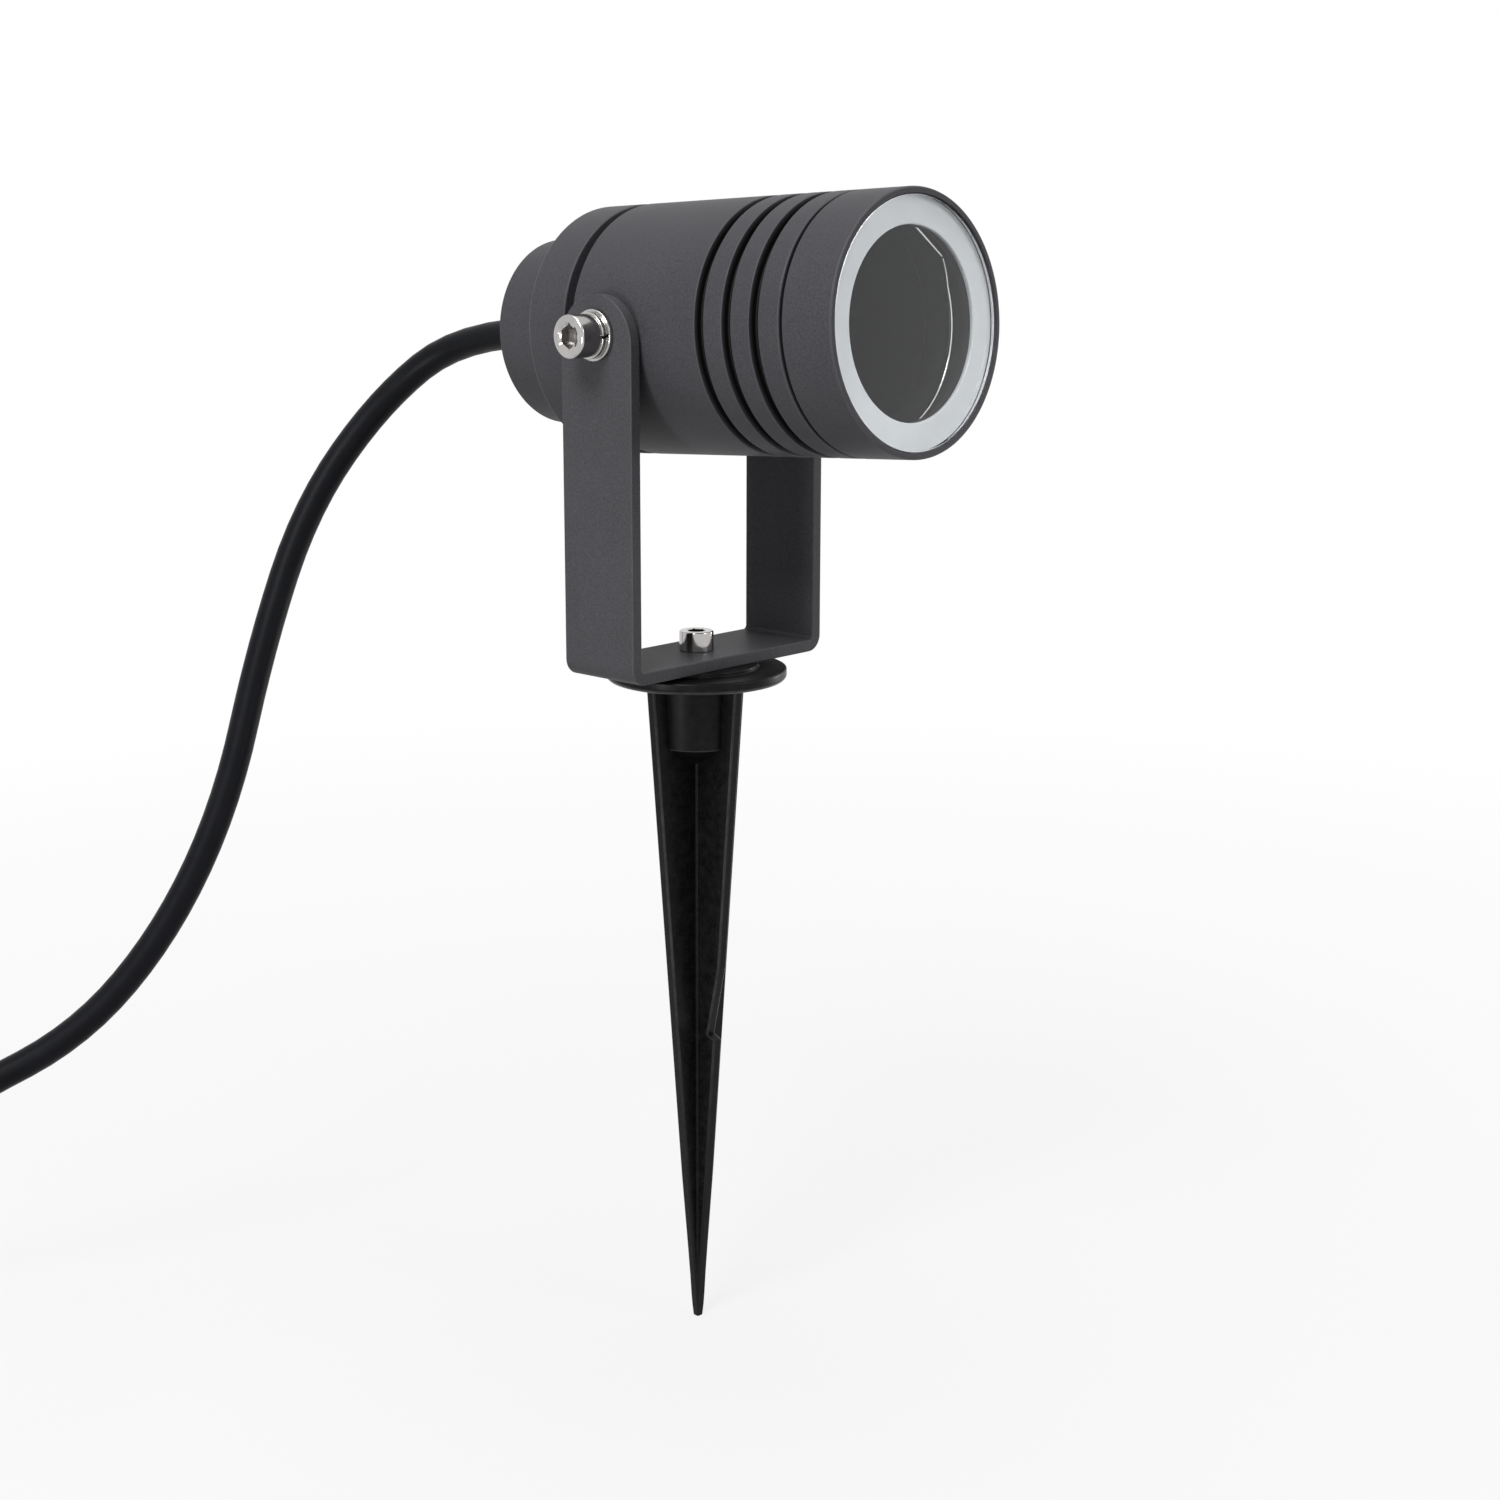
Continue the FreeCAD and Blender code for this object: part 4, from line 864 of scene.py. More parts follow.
@dataclass
class Bench:
    """Turns shells into dressed pieces of the frame, and dresses the CAD nodes that stay."""

    frame: dict
    palette: Palette = field(default_factory=Palette)

    def piece(self, name: str, shell: Shell | bpy.types.Mesh, finish: Finish, body: Body | None,
              replaces: Sequence[str] = (), place: Matrix | None = None,
              crease: float = 32.0) -> bpy.types.Object:
        """Make one piece.

        Args:
            name: the piece's own name.
            shell: its shape, or its finished mesh.
            finish: its finish.
            body: the body that it rides on, or None where it rides on none.
            replaces: the CAD nodes that it stands for.
            place: where its own axes are, in millimetres.
            crease: edges sharper than this many degrees stay crisp.

        Returns:
            The new object.
        """
        if isinstance(shell, Shell):
            mesh = (shell.placed(place) if place else shell).mesh(name)
        else:
            mesh = shell
        mesh.shade_smooth()
        mesh.set_sharp_from_angle(angle=math.radians(crease))
        obj = bpy.data.objects.new(name, mesh)
        bpy.context.scene.collection.objects.link(obj)
        obj.data.materials.append(self.palette.of(finish))
        even = obj.modifiers.new("even_normals", "WEIGHTED_NORMAL")
        even.keep_sharp = True
        if body is not None:
            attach(obj, body.value)
        if replaces:
            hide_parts(*replaces)
        LOG.info("%s: %d faces", name, len(mesh.polygons))
        return obj

    def partly(self, obj: bpy.types.Object, finish: Finish,
               chosen: Callable[[Vector, Vector], bool]) -> None:
        """Give some faces of a piece a second finish.

        Args:
            obj: the piece.
            finish: the finish of the chosen faces.
            chosen: says yes to a face by its middle, in millimetres, and its normal.
        """
        obj.data.materials.append(self.palette.of(finish))
        for face in obj.data.polygons:
            face.material_index = int(chosen(face.center / MM, face.normal))

    def dress(self, finish: Finish, *names: str) -> None:
        """Give CAD nodes that stay in view a finish.

        Args:
            finish: the finish.
            names: the nodes' names.
        """
        for name in names:
            for slot in self.frame["nodes"][name].material_slots:
                slot.material = self.palette.of(finish)

    @staticmethod
    def carved(base: Shell, other: Shell, way: Carving, name: str) -> bpy.types.Mesh:
        """Join or cut two closed shells.

        Args:
            base: the shell that stays.
            other: the shell that is added or taken away.
            way: whether it is added or taken away.
            name: the mesh's name.

        Returns:
            The finished mesh, in metres.
        """
        objects = []
        for shell in (base, other):
            obj = bpy.data.objects.new("carving", shell.mesh("carving"))
            bpy.context.scene.collection.objects.link(obj)
            objects.append(obj)
        cut = objects[0].modifiers.new("carving", "BOOLEAN")
        cut.object, cut.operation, cut.solver = objects[1], way.value, "EXACT"
        graph = bpy.context.evaluated_depsgraph_get()
        mesh = bpy.data.meshes.new_from_object(objects[0].evaluated_get(graph))
        mesh.name = name
        for obj in objects:
            bpy.data.objects.remove(obj)
        return mesh


# ---- studio

@dataclass
class Studio:
    """The camera of the photograph, a pale floor and plain soft light."""

    camera_place: Triple = (-0.43414, -0.41506, 0.29292)
    right: Triple = (0.67527516, -0.73756149, 0.00254959)
    up: Triple = (0.16581448, 0.15517808, 0.97387131)
    forward: Triple = (0.71868562, 0.65720834, -0.22708628)
    focal: float = 59.22
    sensor: float = 36.0
    nearest: float = 0.01
    furthest: float = 50.0
    sky: float = 0.22
    sky_colour: Colour = (0.99, 0.99, 1.0)
    white: Colour = (1.0, 1.0, 1.0)
    floor_reach: float = 12.0
    floor_tones: tuple[Colour, Colour] = ((0.52, 0.52, 0.52), (0.56, 0.56, 0.56))
    floor_cloud: float = 0.4
    plain_from: float = 0.05
    plain_to: float = 0.75
    plain_least: float = 0.82
    aim: Triple = (0.0, 0.0, 0.17)
    lamps: tuple[tuple[str, Triple, float, tuple[float, float]], ...] = (
        ("key_panel", (-0.86, -0.22, 1.2), 14.5, (0.5, 0.5)),
        ("top_panel", (0.1, 0.1, 1.5), 6.0, (0.7, 0.7)),
        ("front_panel", (0.4, -1.3, 0.75), 5.0, (0.5, 0.7)),
        ("left_strip", (-1.0, -0.02, 0.11), 3.2, (0.14, 0.20)),
        ("right_strip", (0.96, -0.27, 0.12), 2.4, (0.12, 0.22)),
    )

    def camera(self) -> None:
        """Set up the camera at the photograph's viewing angle."""
        data = bpy.data.cameras.new("camera")
        data.lens, data.sensor_width, data.sensor_fit = self.focal, self.sensor, "HORIZONTAL"
        data.clip_start, data.clip_end = self.nearest, self.furthest
        obj = bpy.data.objects.new("camera", data)
        back = -Vector(self.forward)
        axes = Matrix((self.right, self.up, back)).transposed()
        obj.matrix_world = Matrix.Translation(self.camera_place) @ axes.to_4x4()
        bpy.context.scene.collection.objects.link(obj)
        bpy.context.scene.camera = obj

    def world(self) -> None:
        """A soft grey sky that the camera, metal and glass see as white."""
        scene = bpy.context.scene
        scene.view_settings.view_transform = "Standard"
        world = bpy.data.worlds.new("studio")
        scene.world = world
        world.use_nodes = True
        tree = world.node_tree
        tree.nodes.clear()
        skies = []
        for colour, strength in ((self.sky_colour, self.sky), (self.white, 1.0)):
            sky = tree.nodes.new("ShaderNodeBackground")
            sky.inputs["Color"].default_value = (*colour, 1)
            sky.inputs["Strength"].default_value = strength
            skies.append(sky.outputs["Background"])
        out = tree.nodes.new("ShaderNodeOutputWorld")
        tree.links.new(mixed(tree, self.seen_by_eye(tree), *skies), out.inputs["Surface"])

    @staticmethod
    def seen_by_eye(tree: bpy.types.NodeTree) -> Socket:
        """A factor of one for camera, glossy and transmission rays.

        Args:
            tree: the node tree.

        Returns:
            The factor.
        """
        path = tree.nodes.new("ShaderNodeLightPath")
        total = path.outputs["Is Camera Ray"]
        for name in ("Is Glossy Ray", "Is Transmission Ray"):
            more = tree.nodes.new("ShaderNodeMath")
            more.operation = "MAXIMUM"
            tree.links.new(total, more.inputs[0])
            tree.links.new(path.outputs[name], more.inputs[1])
            total = more.outputs[0]
        return total

    def floor(self) -> None:
        """A pale floor that keeps the light's shadow and fades to plain white further off."""
        mesh = bpy.data.meshes.new("floor")
        r = self.floor_reach
        mesh.from_pydata([(-r, -r, 0), (r, -r, 0), (r, r, 0), (-r, r, 0)], [], [(0, 1, 2, 3)])
        obj = bpy.data.objects.new("floor", mesh)
        bpy.context.scene.collection.objects.link(obj)
        nodes = Nodes("studio_floor")
        nodes.link(nodes.blend(nodes.noise(self.floor_cloud), *self.floor_tones),
                   nodes.shader.inputs["Base Color"])
        nodes.set(Roughness=0.8, Specular_IOR_Level=0.1)
        plain = nodes.add("ShaderNodeEmission")
        plain.inputs["Color"].default_value = (*self.white, 1)
        away = nodes.spread(nodes.vector("LENGTH", nodes.where), self.plain_least, 1,
                            self.plain_from, self.plain_to)
        nodes.link(mixed(nodes.tree, nodes.product(away, self.seen_by_eye(nodes.tree)),
                         nodes.shader.outputs["BSDF"], plain.outputs["Emission"]),
                   nodes.output.inputs["Surface"])
        mesh.materials.append(nodes.material)

    def lamp(self, name: str, place: Triple, power: float, size: tuple[float, float]) -> None:
        """A soft panel that faces the light's middle.

        Args:
            name: the lamp's name.
            place: where it hangs, in metres.
            power: its power, in watts.
            size: its width and its height.
        """
        data = bpy.data.lights.new(name, "AREA")
        data.shape, data.size, data.size_y, data.energy = "RECTANGLE", *size, power
        obj = bpy.data.objects.new(name, data)
        obj.location = place
        way = Vector(self.aim) - Vector(place)
        obj.rotation_euler = way.to_track_quat("-Z", "Y").to_euler()
        bpy.context.scene.collection.objects.link(obj)

    def build(self) -> None:
        """Put up the whole studio."""
        self.camera()
        self.world()
        self.floor()
        for lamp in self.lamps:
            self.lamp(*lamp)


# ---- cable

@dataclass
class SupplyLead:
    """The rubber cable, its put-away coil and its three bare ends. Lengths are metres."""

    radius: float = 0.0038
    length: float = 1.447
    mouth: Triple = (0.0, 0.05621, 0.25356)
    route: tuple[Triple, ...] = (
        (0.0, 0.08516, 0.25189), (-0.0125, 0.1045, 0.234), (-0.0315, 0.1135, 0.2065),
        (-0.0485, 0.113, 0.1705), (-0.064, 0.1095, 0.1315), (-0.0825, 0.1135, 0.099),
        (-0.103, 0.1245, 0.074), (-0.1275, 0.1425, 0.0595), (-0.154, 0.156, 0.041),
        (-0.1815, 0.161, 0.0195), (-0.208, 0.158, 0.005), (-0.232, 0.150, 0.005),
    )
    coil_radius: float = 0.0455
    coil_pitch: float = 0.0081
    coil_quarters: int = 18
    points_per_quarter: int = 6
    sides: int = 24
    bend_from: Triple = (0.0089, 0.0571, 0.2517)
    bend_to: Triple = (-0.0213, 0.1384, 0.2369)

    def coil(self, start: Vector, way: Vector) -> list[Vector]:
        """The coil's own points: in, up a layer, and out again.

        Args:
            start: the end of the route.
            way: the direction in which the cable arrives.

        Returns:
            Control points, about two dozen to a turn, then the coil's end.
        """
        left = Vector((-way.y, way.x, 0))
        first = start + way * 2 * self.radius
        centre = first + left * self.coil_radius
        begin = math.atan2(-left.y, -left.x)
        turn_back = self.coil_quarters / 2
        points = []
        for step in range(self.coil_quarters * self.points_per_quarter + 1):
            quarter = step / self.points_per_quarter
            from_back = quarter - turn_back
            reach = self.coil_radius - self.coil_pitch * (turn_back - abs(from_back)) / 4
            climb = min(max((from_back + 1) / 2, 0), 1)
            climb = climb * climb * (3 - 2 * climb)
            spoke = polar(reach, begin + quarter * math.pi / 2)
            points.append(centre + spoke + Vector((0, 0, self.coil_pitch * climb)))
        ahead = polar(1, begin + (self.coil_quarters + 1) * math.pi / 2)
        points.append(points[-1] + ahead * 2 * self.radius)
        return points

    def line(self) -> list[Vector]:
        """The points read from the route's own smooth spline.

        Returns:
            The points of the cable's middle, in metres.
        """
        route = [Vector(p) for p in (self.mouth, *self.route)]
        way = (route[-1] - route[-2]).normalized()
        controls = route + self.coil(route[-1], way)
        data = bpy.data.curves.new("route", "CURVE")
        data.dimensions = "3D"
        spline = data.splines.new("NURBS")
        spline.points.add(len(controls) - 1)
        for point, spot in zip(spline.points, controls):
            point.co = (*spot, 1)
        spline.order_u, spline.use_endpoint_u, spline.resolution_u = 3, True, 6
        obj = bpy.data.objects.new("route", data)
        bpy.context.scene.collection.objects.link(obj)
        mesh = bpy.data.meshes.new_from_object(obj)
        points = [v.co.copy() for v in mesh.vertices]
        bpy.data.objects.remove(obj)
        bpy.data.meshes.remove(mesh)
        return points

    def build(self, bench: Bench) -> None:
        """Make the cable as one tube, and dress what goes with it.

        Args:
            bench: what makes the pieces and dresses the nodes.
        """
        path = self.line()
        mesh = Shell.swept(path, self.radius, self.sides).mesh("cable", scale=1.0)
        cable = bench.piece("cable", mesh, Palette.cable, None,
                            ("supply_cable", "cable_coil"), crease=60)
        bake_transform(cable)
        with_pieces = {"cable_tie": Palette.tie, "live_end": Palette.brown,
                       "neutral_end": Palette.blue, "earth_end": Palette.earth,
                       "core_ferrules": Palette.tin}
        for name, finish in with_pieces.items():
            bench.dress(finish, name)


# ---- the lamp head

@dataclass(frozen=True)
class HeadAxis:
    """The head's own axes: stations run forwards from the back of its end cap."""

    pivot_height: float = 256.8
    pivot_station: float = 44.3
    tilt: float = 3.3

    def matrix(self) -> Matrix:
        """Carries (across, up, station) into the row frame, in millimetres.

        Returns:
            The matrix.
        """
        return (Matrix.Translation((0, 0, self.pivot_height))
                @ Matrix.Rotation(math.radians(90 - self.tilt), 4, "X")
                @ Matrix.Translation((0, 0, -self.pivot_station)))

    def edge_highlight(self, outer: float) -> Callable[[Vector, Vector], bool]:
        """Make the test for the softened edges near an outer radius, which get a painted highlight.

        Args:
            outer: the radius of the turned outside, in millimetres.

        Returns:
            A test of a face's middle and normal.
        """
        back = self.matrix().inverted()

        def on_highlit_edge(spot: Vector, normal: Vector) -> bool:
            """Say yes to a face that leans along the axis, close to the outside.

            Args:
                spot: the face's middle, in millimetres.
                normal: the way it faces.

            Returns:
                True on a softened edge.
            """
            local = back @ spot
            off = math.hypot(local.x, local.y) - outer
            return -0.6 < off < 0.1 and leaning((back.to_3x3() @ normal).z)

        return on_highlit_edge

    def side(self, way: int, distance: float) -> Matrix:
        """A place on the tilt axis, local Z pointing out of the head on side -1 or 1."""
        return (Matrix.Translation((way * distance, 0, self.pivot_height))
                @ Matrix.Rotation(way * math.pi / 2, 4, "Y"))


@dataclass
class LampHead:
    """The finned barrel, the stepped rear cover and the cable gland."""

    axis: HeadAxis = field(default_factory=HeadAxis)
    radius: float = 30.0
    edge: float = 0.45
    bore: float = 25.6
    thread: float = 27.3
    shoulders: tuple[float, float] = (41.4, 92.8)
    barrel_back: float = 32.9
    barrel_front: float = 97.8
    lip: float = 28.85
    lip_back: float = 97.0
    groove_first: float = 72.5
    groove_width: float = 2.7
    groove_pitch: float = 8.3
    groove_depth: float = 2.4
    groove_corner: float = 0.35
    grooves: int = 3
    outside: float = 33.0
    spot_face: tuple[float, float] = (6.3, 29.6)
    screw_hole: tuple[float, float] = (3.08, 20.0)
    cap_radius: float = 22.8
    cap_length: float = 17.6
    cap_back: float = -0.8
    cap_wall: float = 4.0
    cap_bore: float = 19.5
    cover_front: float = 30.0
    cover_step: float = 20.9
    cover_bore: float = 23.95
    spigot: float = 27.25
    spigot_end: float = 40.9
    seal_floor: float = 25.65
    seal_groove: tuple[float, float] = (35.3, 36.9)
    posts: tuple[tuple[float, float], ...] = ((-19.0, 0.0), (19.0, 0.0), (0.0, -19.0))
    post_radius: float = 3.2
    post_ends: tuple[float, float] = (20.0, 26.6)
    gland_hole: float = 6.02
    gland_flats: float = 15.0
    gland_collar: float = 4.0
    gland_mouth: float = 12.0
    gland_thread: float = 6.0
    gland_length: float = 10.0
    nut_bore: float = 5.55
    nut_grip: tuple[float, float] = (-10.1, -4.6)
    flutes: int = 12
    flute_depth: float = 0.32
    cable_bore: float = 3.52

    def rod(self, radius: float, start: float, end: float, segments: int) -> Shell:
        """A plain rod along local Z, to carve with."""
        return Shell.turned([(0, start), (radius, start), (radius, end), (0, end)], soft=0,
                            closed=False, segments=segments)

    def barrel(self, bench: Bench) -> None:
        """The barrel with its three fin grooves and a spot face on each side.

        Args:
            bench: what makes the pieces and dresses the nodes.
        """
        low, high = self.shoulders
        outline: list[Corner] = [
            (self.bore, low), (self.thread, low), (self.thread, self.barrel_back),
            (self.radius, self.barrel_back, self.edge)]
        floor = self.radius - self.groove_depth
        for number in range(self.grooves):
            near = self.groove_first + number * self.groove_pitch
            far = near + self.groove_width
            outline += [(self.radius, near, 0.3), (floor, near, self.groove_corner),
                        (floor, far, self.groove_corner), (self.radius, far, 0.3)]
        outline += [(self.radius, self.barrel_front, self.edge), (self.lip, self.barrel_front),
                    (self.lip, self.lip_back), (self.thread, self.lip_back),
                    (self.thread, high), (self.bore, high)]
        body = Shell.turned(outline, soft=0.12, segments=LARGE_RING).placed(self.axis.matrix())
        cuts = Shell()
        for way in (-1, 1):
            for reach, bottom in (self.spot_face, self.screw_hole):
                plug = self.rod(reach, 0, self.outside - bottom, SMALL_RING)
                cuts.joined(plug.placed(self.axis.side(way, bottom)))
        mesh = bench.carved(body, cuts, Carving.CUT, "finned_barrel")
        obj = bench.piece("finned_barrel", mesh, Palette.body, Body.HEAD,
                          ("barrel",))
        # Painted highlight on the barrel's softened edges.
        bench.partly(obj, Palette.edge_highlight, self.axis.edge_highlight(self.radius))

    def cover(self, bench: Bench) -> None:
        """The rear cover: a ring as wide as the barrel, stepped down to the end cap.

        Args:
            bench: what makes the pieces and dresses the nodes.
        """
        near, far = self.seal_groove
        outline: list[Corner] = [
            (self.gland_hole, self.cap_back), (self.cap_radius, self.cap_back, 0.5),
            (self.cap_radius, self.cap_length, 0.25), (self.radius, self.cap_length, 0.9),
            (self.radius, self.cover_front, self.edge), (self.spigot, self.cover_front, 0.2),
            (self.spigot, near), (self.seal_floor, near), (self.seal_floor, far),
            (self.spigot, far), (self.spigot, self.spigot_end),
            (self.cover_bore, self.spigot_end), (self.cover_bore, self.cover_step),
            (self.cap_bore, self.cover_step), (self.cap_bore, self.cap_wall),
            (self.gland_hole, self.cap_wall)]
        cover = Shell.turned(outline, soft=0.12, segments=LARGE_RING)
        posts = Shell()
        for x, y in self.posts:
            post = self.rod(self.post_radius, *self.post_ends, SMALL_RING // 2)
            posts.joined(post.placed(Matrix.Translation((x, y, 0))))
        mesh = bench.carved(cover.placed(self.axis.matrix()), posts.placed(self.axis.matrix()),
                            Carving.ADD, "stepped_cover")
        obj = bench.piece("stepped_cover", mesh, Palette.body, Body.HEAD,
                          ("rear_cover",))
        # Painted highlight on the cover's softened edges.
        bench.partly(obj, Palette.edge_highlight, self.axis.edge_highlight(self.radius))

    def gland(self, bench: Bench) -> None:
        """The gland's hexagon body and its domed, fluted nut.

        Args:
            bench: what makes the pieces and dresses the nodes.
        """
        flats, collar, thread = self.gland_flats, self.gland_collar, self.gland_thread
        corner, side = flats / math.sqrt(3) + 0.1, flats / 2 - 0.1

        def six(radius: float, station: float, angle: float) -> float:
            """Hold the collar's outside to its hexagon."""
            return min(radius, hexagon_reach(flats, angle)) if radius > thread + 0.1 else radius

        body = Shell.turned([
            (self.cable_bore, -collar), (thread - 0.5, -collar), (side, -collar, 0),
            (corner, -collar + 0.8, 0), (corner, -0.7, 0), (side, 0, 0), (thread, 0),
            (thread, self.gland_length), (self.cable_bore, self.gland_length)],
            soft=0.15, segments=180, shape=six)
        bench.piece("gland_collar", body, Palette.nylon, Body.HEAD,
                    ("gland_body",), self.axis.matrix())
        grip_end, grip = self.nut_grip

        def fluted(radius: float, station: float, angle: float) -> float:
            """Shallow flutes along the nut's grip.

            Args:
                radius: the radius, in millimetres.
                station: the place along the axis.
                angle: the angle round it.

            Returns:
                The radius at that angle.
            """
            if radius < flats / 2 - 0.4 or not grip_end - 0.1 < station < grip + 0.1:
                return radius
            return radius - self.flute_depth * (0.5 + 0.5 * math.cos(self.flutes * angle)) ** 2

        mouth, back = -self.gland_mouth, -collar - 0.02
        nut = Shell.turned([
            (self.nut_bore, back), (flats / 2, back, 0.3), (flats / 2, grip, 0),
            (flats / 2, grip_end, 0), (flats / 2, mouth, 2.0), (self.cable_bore, mouth, 0.5),
            (self.cable_bore, mouth + 1.2), (self.nut_bore, mouth + 2.6)],
            soft=0.1, segments=LARGE_RING, shape=fluted)
        bench.piece("gland_dome_nut", nut, Palette.nylon, Body.HEAD,
                    ("gland_nut",), self.axis.matrix())

    def build(self, bench: Bench) -> None:
        """Make the head's outside and dress what is inside it.

        Args:
            bench: what makes the pieces and dresses the nodes.
        """
        self.barrel(bench)
        self.cover(bench)
        self.gland(bench)
        inside = {
            Palette.seal: ("rear_o_ring", "bezel_o_ring", "gland_seal"),
            Palette.nylon: ("gland_lock_nut",),
            Palette.cable: ("cable_tail",),
            Palette.ceramic: ("lampholder",),
            Palette.stainless: ("lampholder_strap", "strap_screws", "holder_screws",
                                "earth_screw"),
            Palette.tin: ("lampholder_contacts", "earth_tag"),
            Palette.terminal: ("terminal_block",),
            Palette.brass: ("terminal_screws",),
            Palette.brown: ("live_core",),
            Palette.blue: ("neutral_core",),
            Palette.earth: ("earth_core", "earth_wire"),
            Palette.sleeve: ("holder_leads",),
            Palette.fibre: ("friction_washers",),
        }
        for finish, names in inside.items():
            bench.dress(finish, *names)


@dataclass
class FrontBezel:
    """The screwed front ring with the glass, its gasket and the sprung wire that holds the lamp."""

    axis: HeadAxis = field(default_factory=HeadAxis)
    radius: float = 30.0
    bore: float = 25.6
    spigot: float = 27.25
    spigot_back: float = 93.3
    back: float = 98.8
    front: float = 112.9
    edges: tuple[float, float] = (0.45, 0.55)
    seat: float = 28.5
    shelf_front: float = 108.98
    shelf_back: float = 107.0
    shelf_bore: float = 21.82
    glass_radius: float = 28.35
    glass_back: float = 110.03
    glass_front: float = 112.5
    glass_flat: float = 27.0
    gasket_back: float = 109.0
    gasket_front: float = 110.0
    gasket_bore: float = 21.8
    wire_groove: float = 25.82
    wire_station: float = 101.2
    wire_radius: float = 25.2
    wire_thickness: float = 1.2
    wire_kink: float = 36.0
    wire_opening: float = 1.2
    wire_rise: float = 1.6
    wire_rise_from: float = 18.0
    wire_rise_to: float = 61.0
    wire_squeeze: float = 0.2
    wire_steps: int = 300

    def ring(self, bench: Bench) -> None:
        """The ring itself, with the wire's groove in its bore.

        Args:
            bench: what makes the pieces and dresses the nodes.
        """
        half = self.wire_thickness / 2
        low, high = self.wire_station - half, self.wire_station + half
        outline: list[Corner] = [
            (self.bore, self.spigot_back, 0.2), (self.spigot, self.spigot_back, 0.2),
            (self.spigot, self.back, 0.15), (self.radius, self.back, self.edges[0]),
            (self.radius, self.front, self.edges[1]), (self.seat, self.front, 0.2),
            (self.seat, self.shelf_front), (self.shelf_bore, self.shelf_front, 0.15),
            (self.shelf_bore, self.shelf_back, 0.2), (self.bore, self.shelf_back, 0.25),
            (self.bore, high), (self.wire_groove, high), (self.wire_groove, low),
            (self.bore, low)]
        shell = Shell.turned(outline, soft=0.08, segments=LARGE_RING)
        obj = bench.piece("bezel_ring", shell, Palette.body, Body.BEZEL,
                          ("front_bezel",), self.axis.matrix())
        # Painted highlight on the bezel's softened edges.
        bench.partly(obj, Palette.edge_highlight, self.axis.edge_highlight(self.radius))

    def glazing(self, bench: Bench) -> None:
        """The glass and the pale ring that it lies on.

        Args:
            bench: what makes the pieces and dresses the nodes.
        """
        glass = Shell.turned([
            (0, self.glass_back), (self.glass_flat, self.glass_back),
            (self.glass_radius, self.glass_back, 0.3),
            (self.glass_radius, self.glass_front, 0.4), (self.glass_flat, self.glass_front),
            (0, self.glass_front)], closed=False)
        bench.piece("toughened_glass", glass, Palette.glass, Body.GLAZING,
                    ("front_glass",), self.axis.matrix())
        gasket = Shell.turned([
            (self.gasket_bore, self.gasket_back, 0.2), (self.glass_radius, self.gasket_back, 0.2),
            (self.glass_radius, self.gasket_front, 0.1),
            (self.gasket_bore, self.gasket_front, 0.35)])
        bench.piece("pale_gasket", gasket, Palette.silicone, Body.GLAZING,
                    ("glass_gasket",), self.axis.matrix())

    def wire_point(self, angle: float) -> Vector:
        """A point on the sprung wire, which leans forwards to its kink.

        Args:
            angle: the angle, in degrees.

        Returns:
            The point, in millimetres.
        """
        radius, rise = self.wire_radius, 0.0
        if self.wire_rise_from < angle <= self.wire_kink:
            rise = (angle - self.wire_rise_from) / (self.wire_kink - self.wire_rise_from)
        elif self.wire_kink < angle < self.wire_rise_to:
            rise = (self.wire_rise_to - angle) / (self.wire_rise_to - self.wire_kink)
            middle = (self.wire_rise_to + self.wire_kink) / 2
            half = math.radians((self.wire_rise_to - self.wire_kink) / 2)
            radius *= math.cos(half) / math.cos(math.radians(angle - middle))
        return polar(radius - self.wire_squeeze * rise, math.radians(angle),
                     self.wire_station + self.wire_rise * rise)

    def wire(self, bench: Bench) -> None:
        """The sprung wire, its two ends leaning forwards where they meet.

        Args:
            bench: what makes the pieces and dresses the nodes.
        """
        start = self.wire_kink + self.wire_opening / 2
        turn = 360 - self.wire_opening
        path = [self.wire_point((start + turn * step / self.wire_steps) % 360)
                for step in range(self.wire_steps + 1)]
        shell = Shell.swept(path, self.wire_thickness / 2, sides=14)
        bench.piece("retaining_wire", shell, Palette.wire, Body.BEZEL,
                    ("lamp_retaining_ring",), self.axis.matrix(), crease=60)

    def build(self, bench: Bench) -> None:
        """Make the bezel and what it carries.

        Args:
            bench: what makes the pieces and dresses the nodes.
        """
        self.ring(bench)
        self.glazing(bench)
        self.wire(bench)


# ---- bracket and fasteners

@dataclass(frozen=True)
class ScrewSize:
    """The sizes of a socket head cap screw; its cap and shank are given by their radius."""

    shank: float
    length: float
    cap: float
    height: float
    flats: float
    depth: float
    round_over: float
    countersink: float
    segments: int = 120


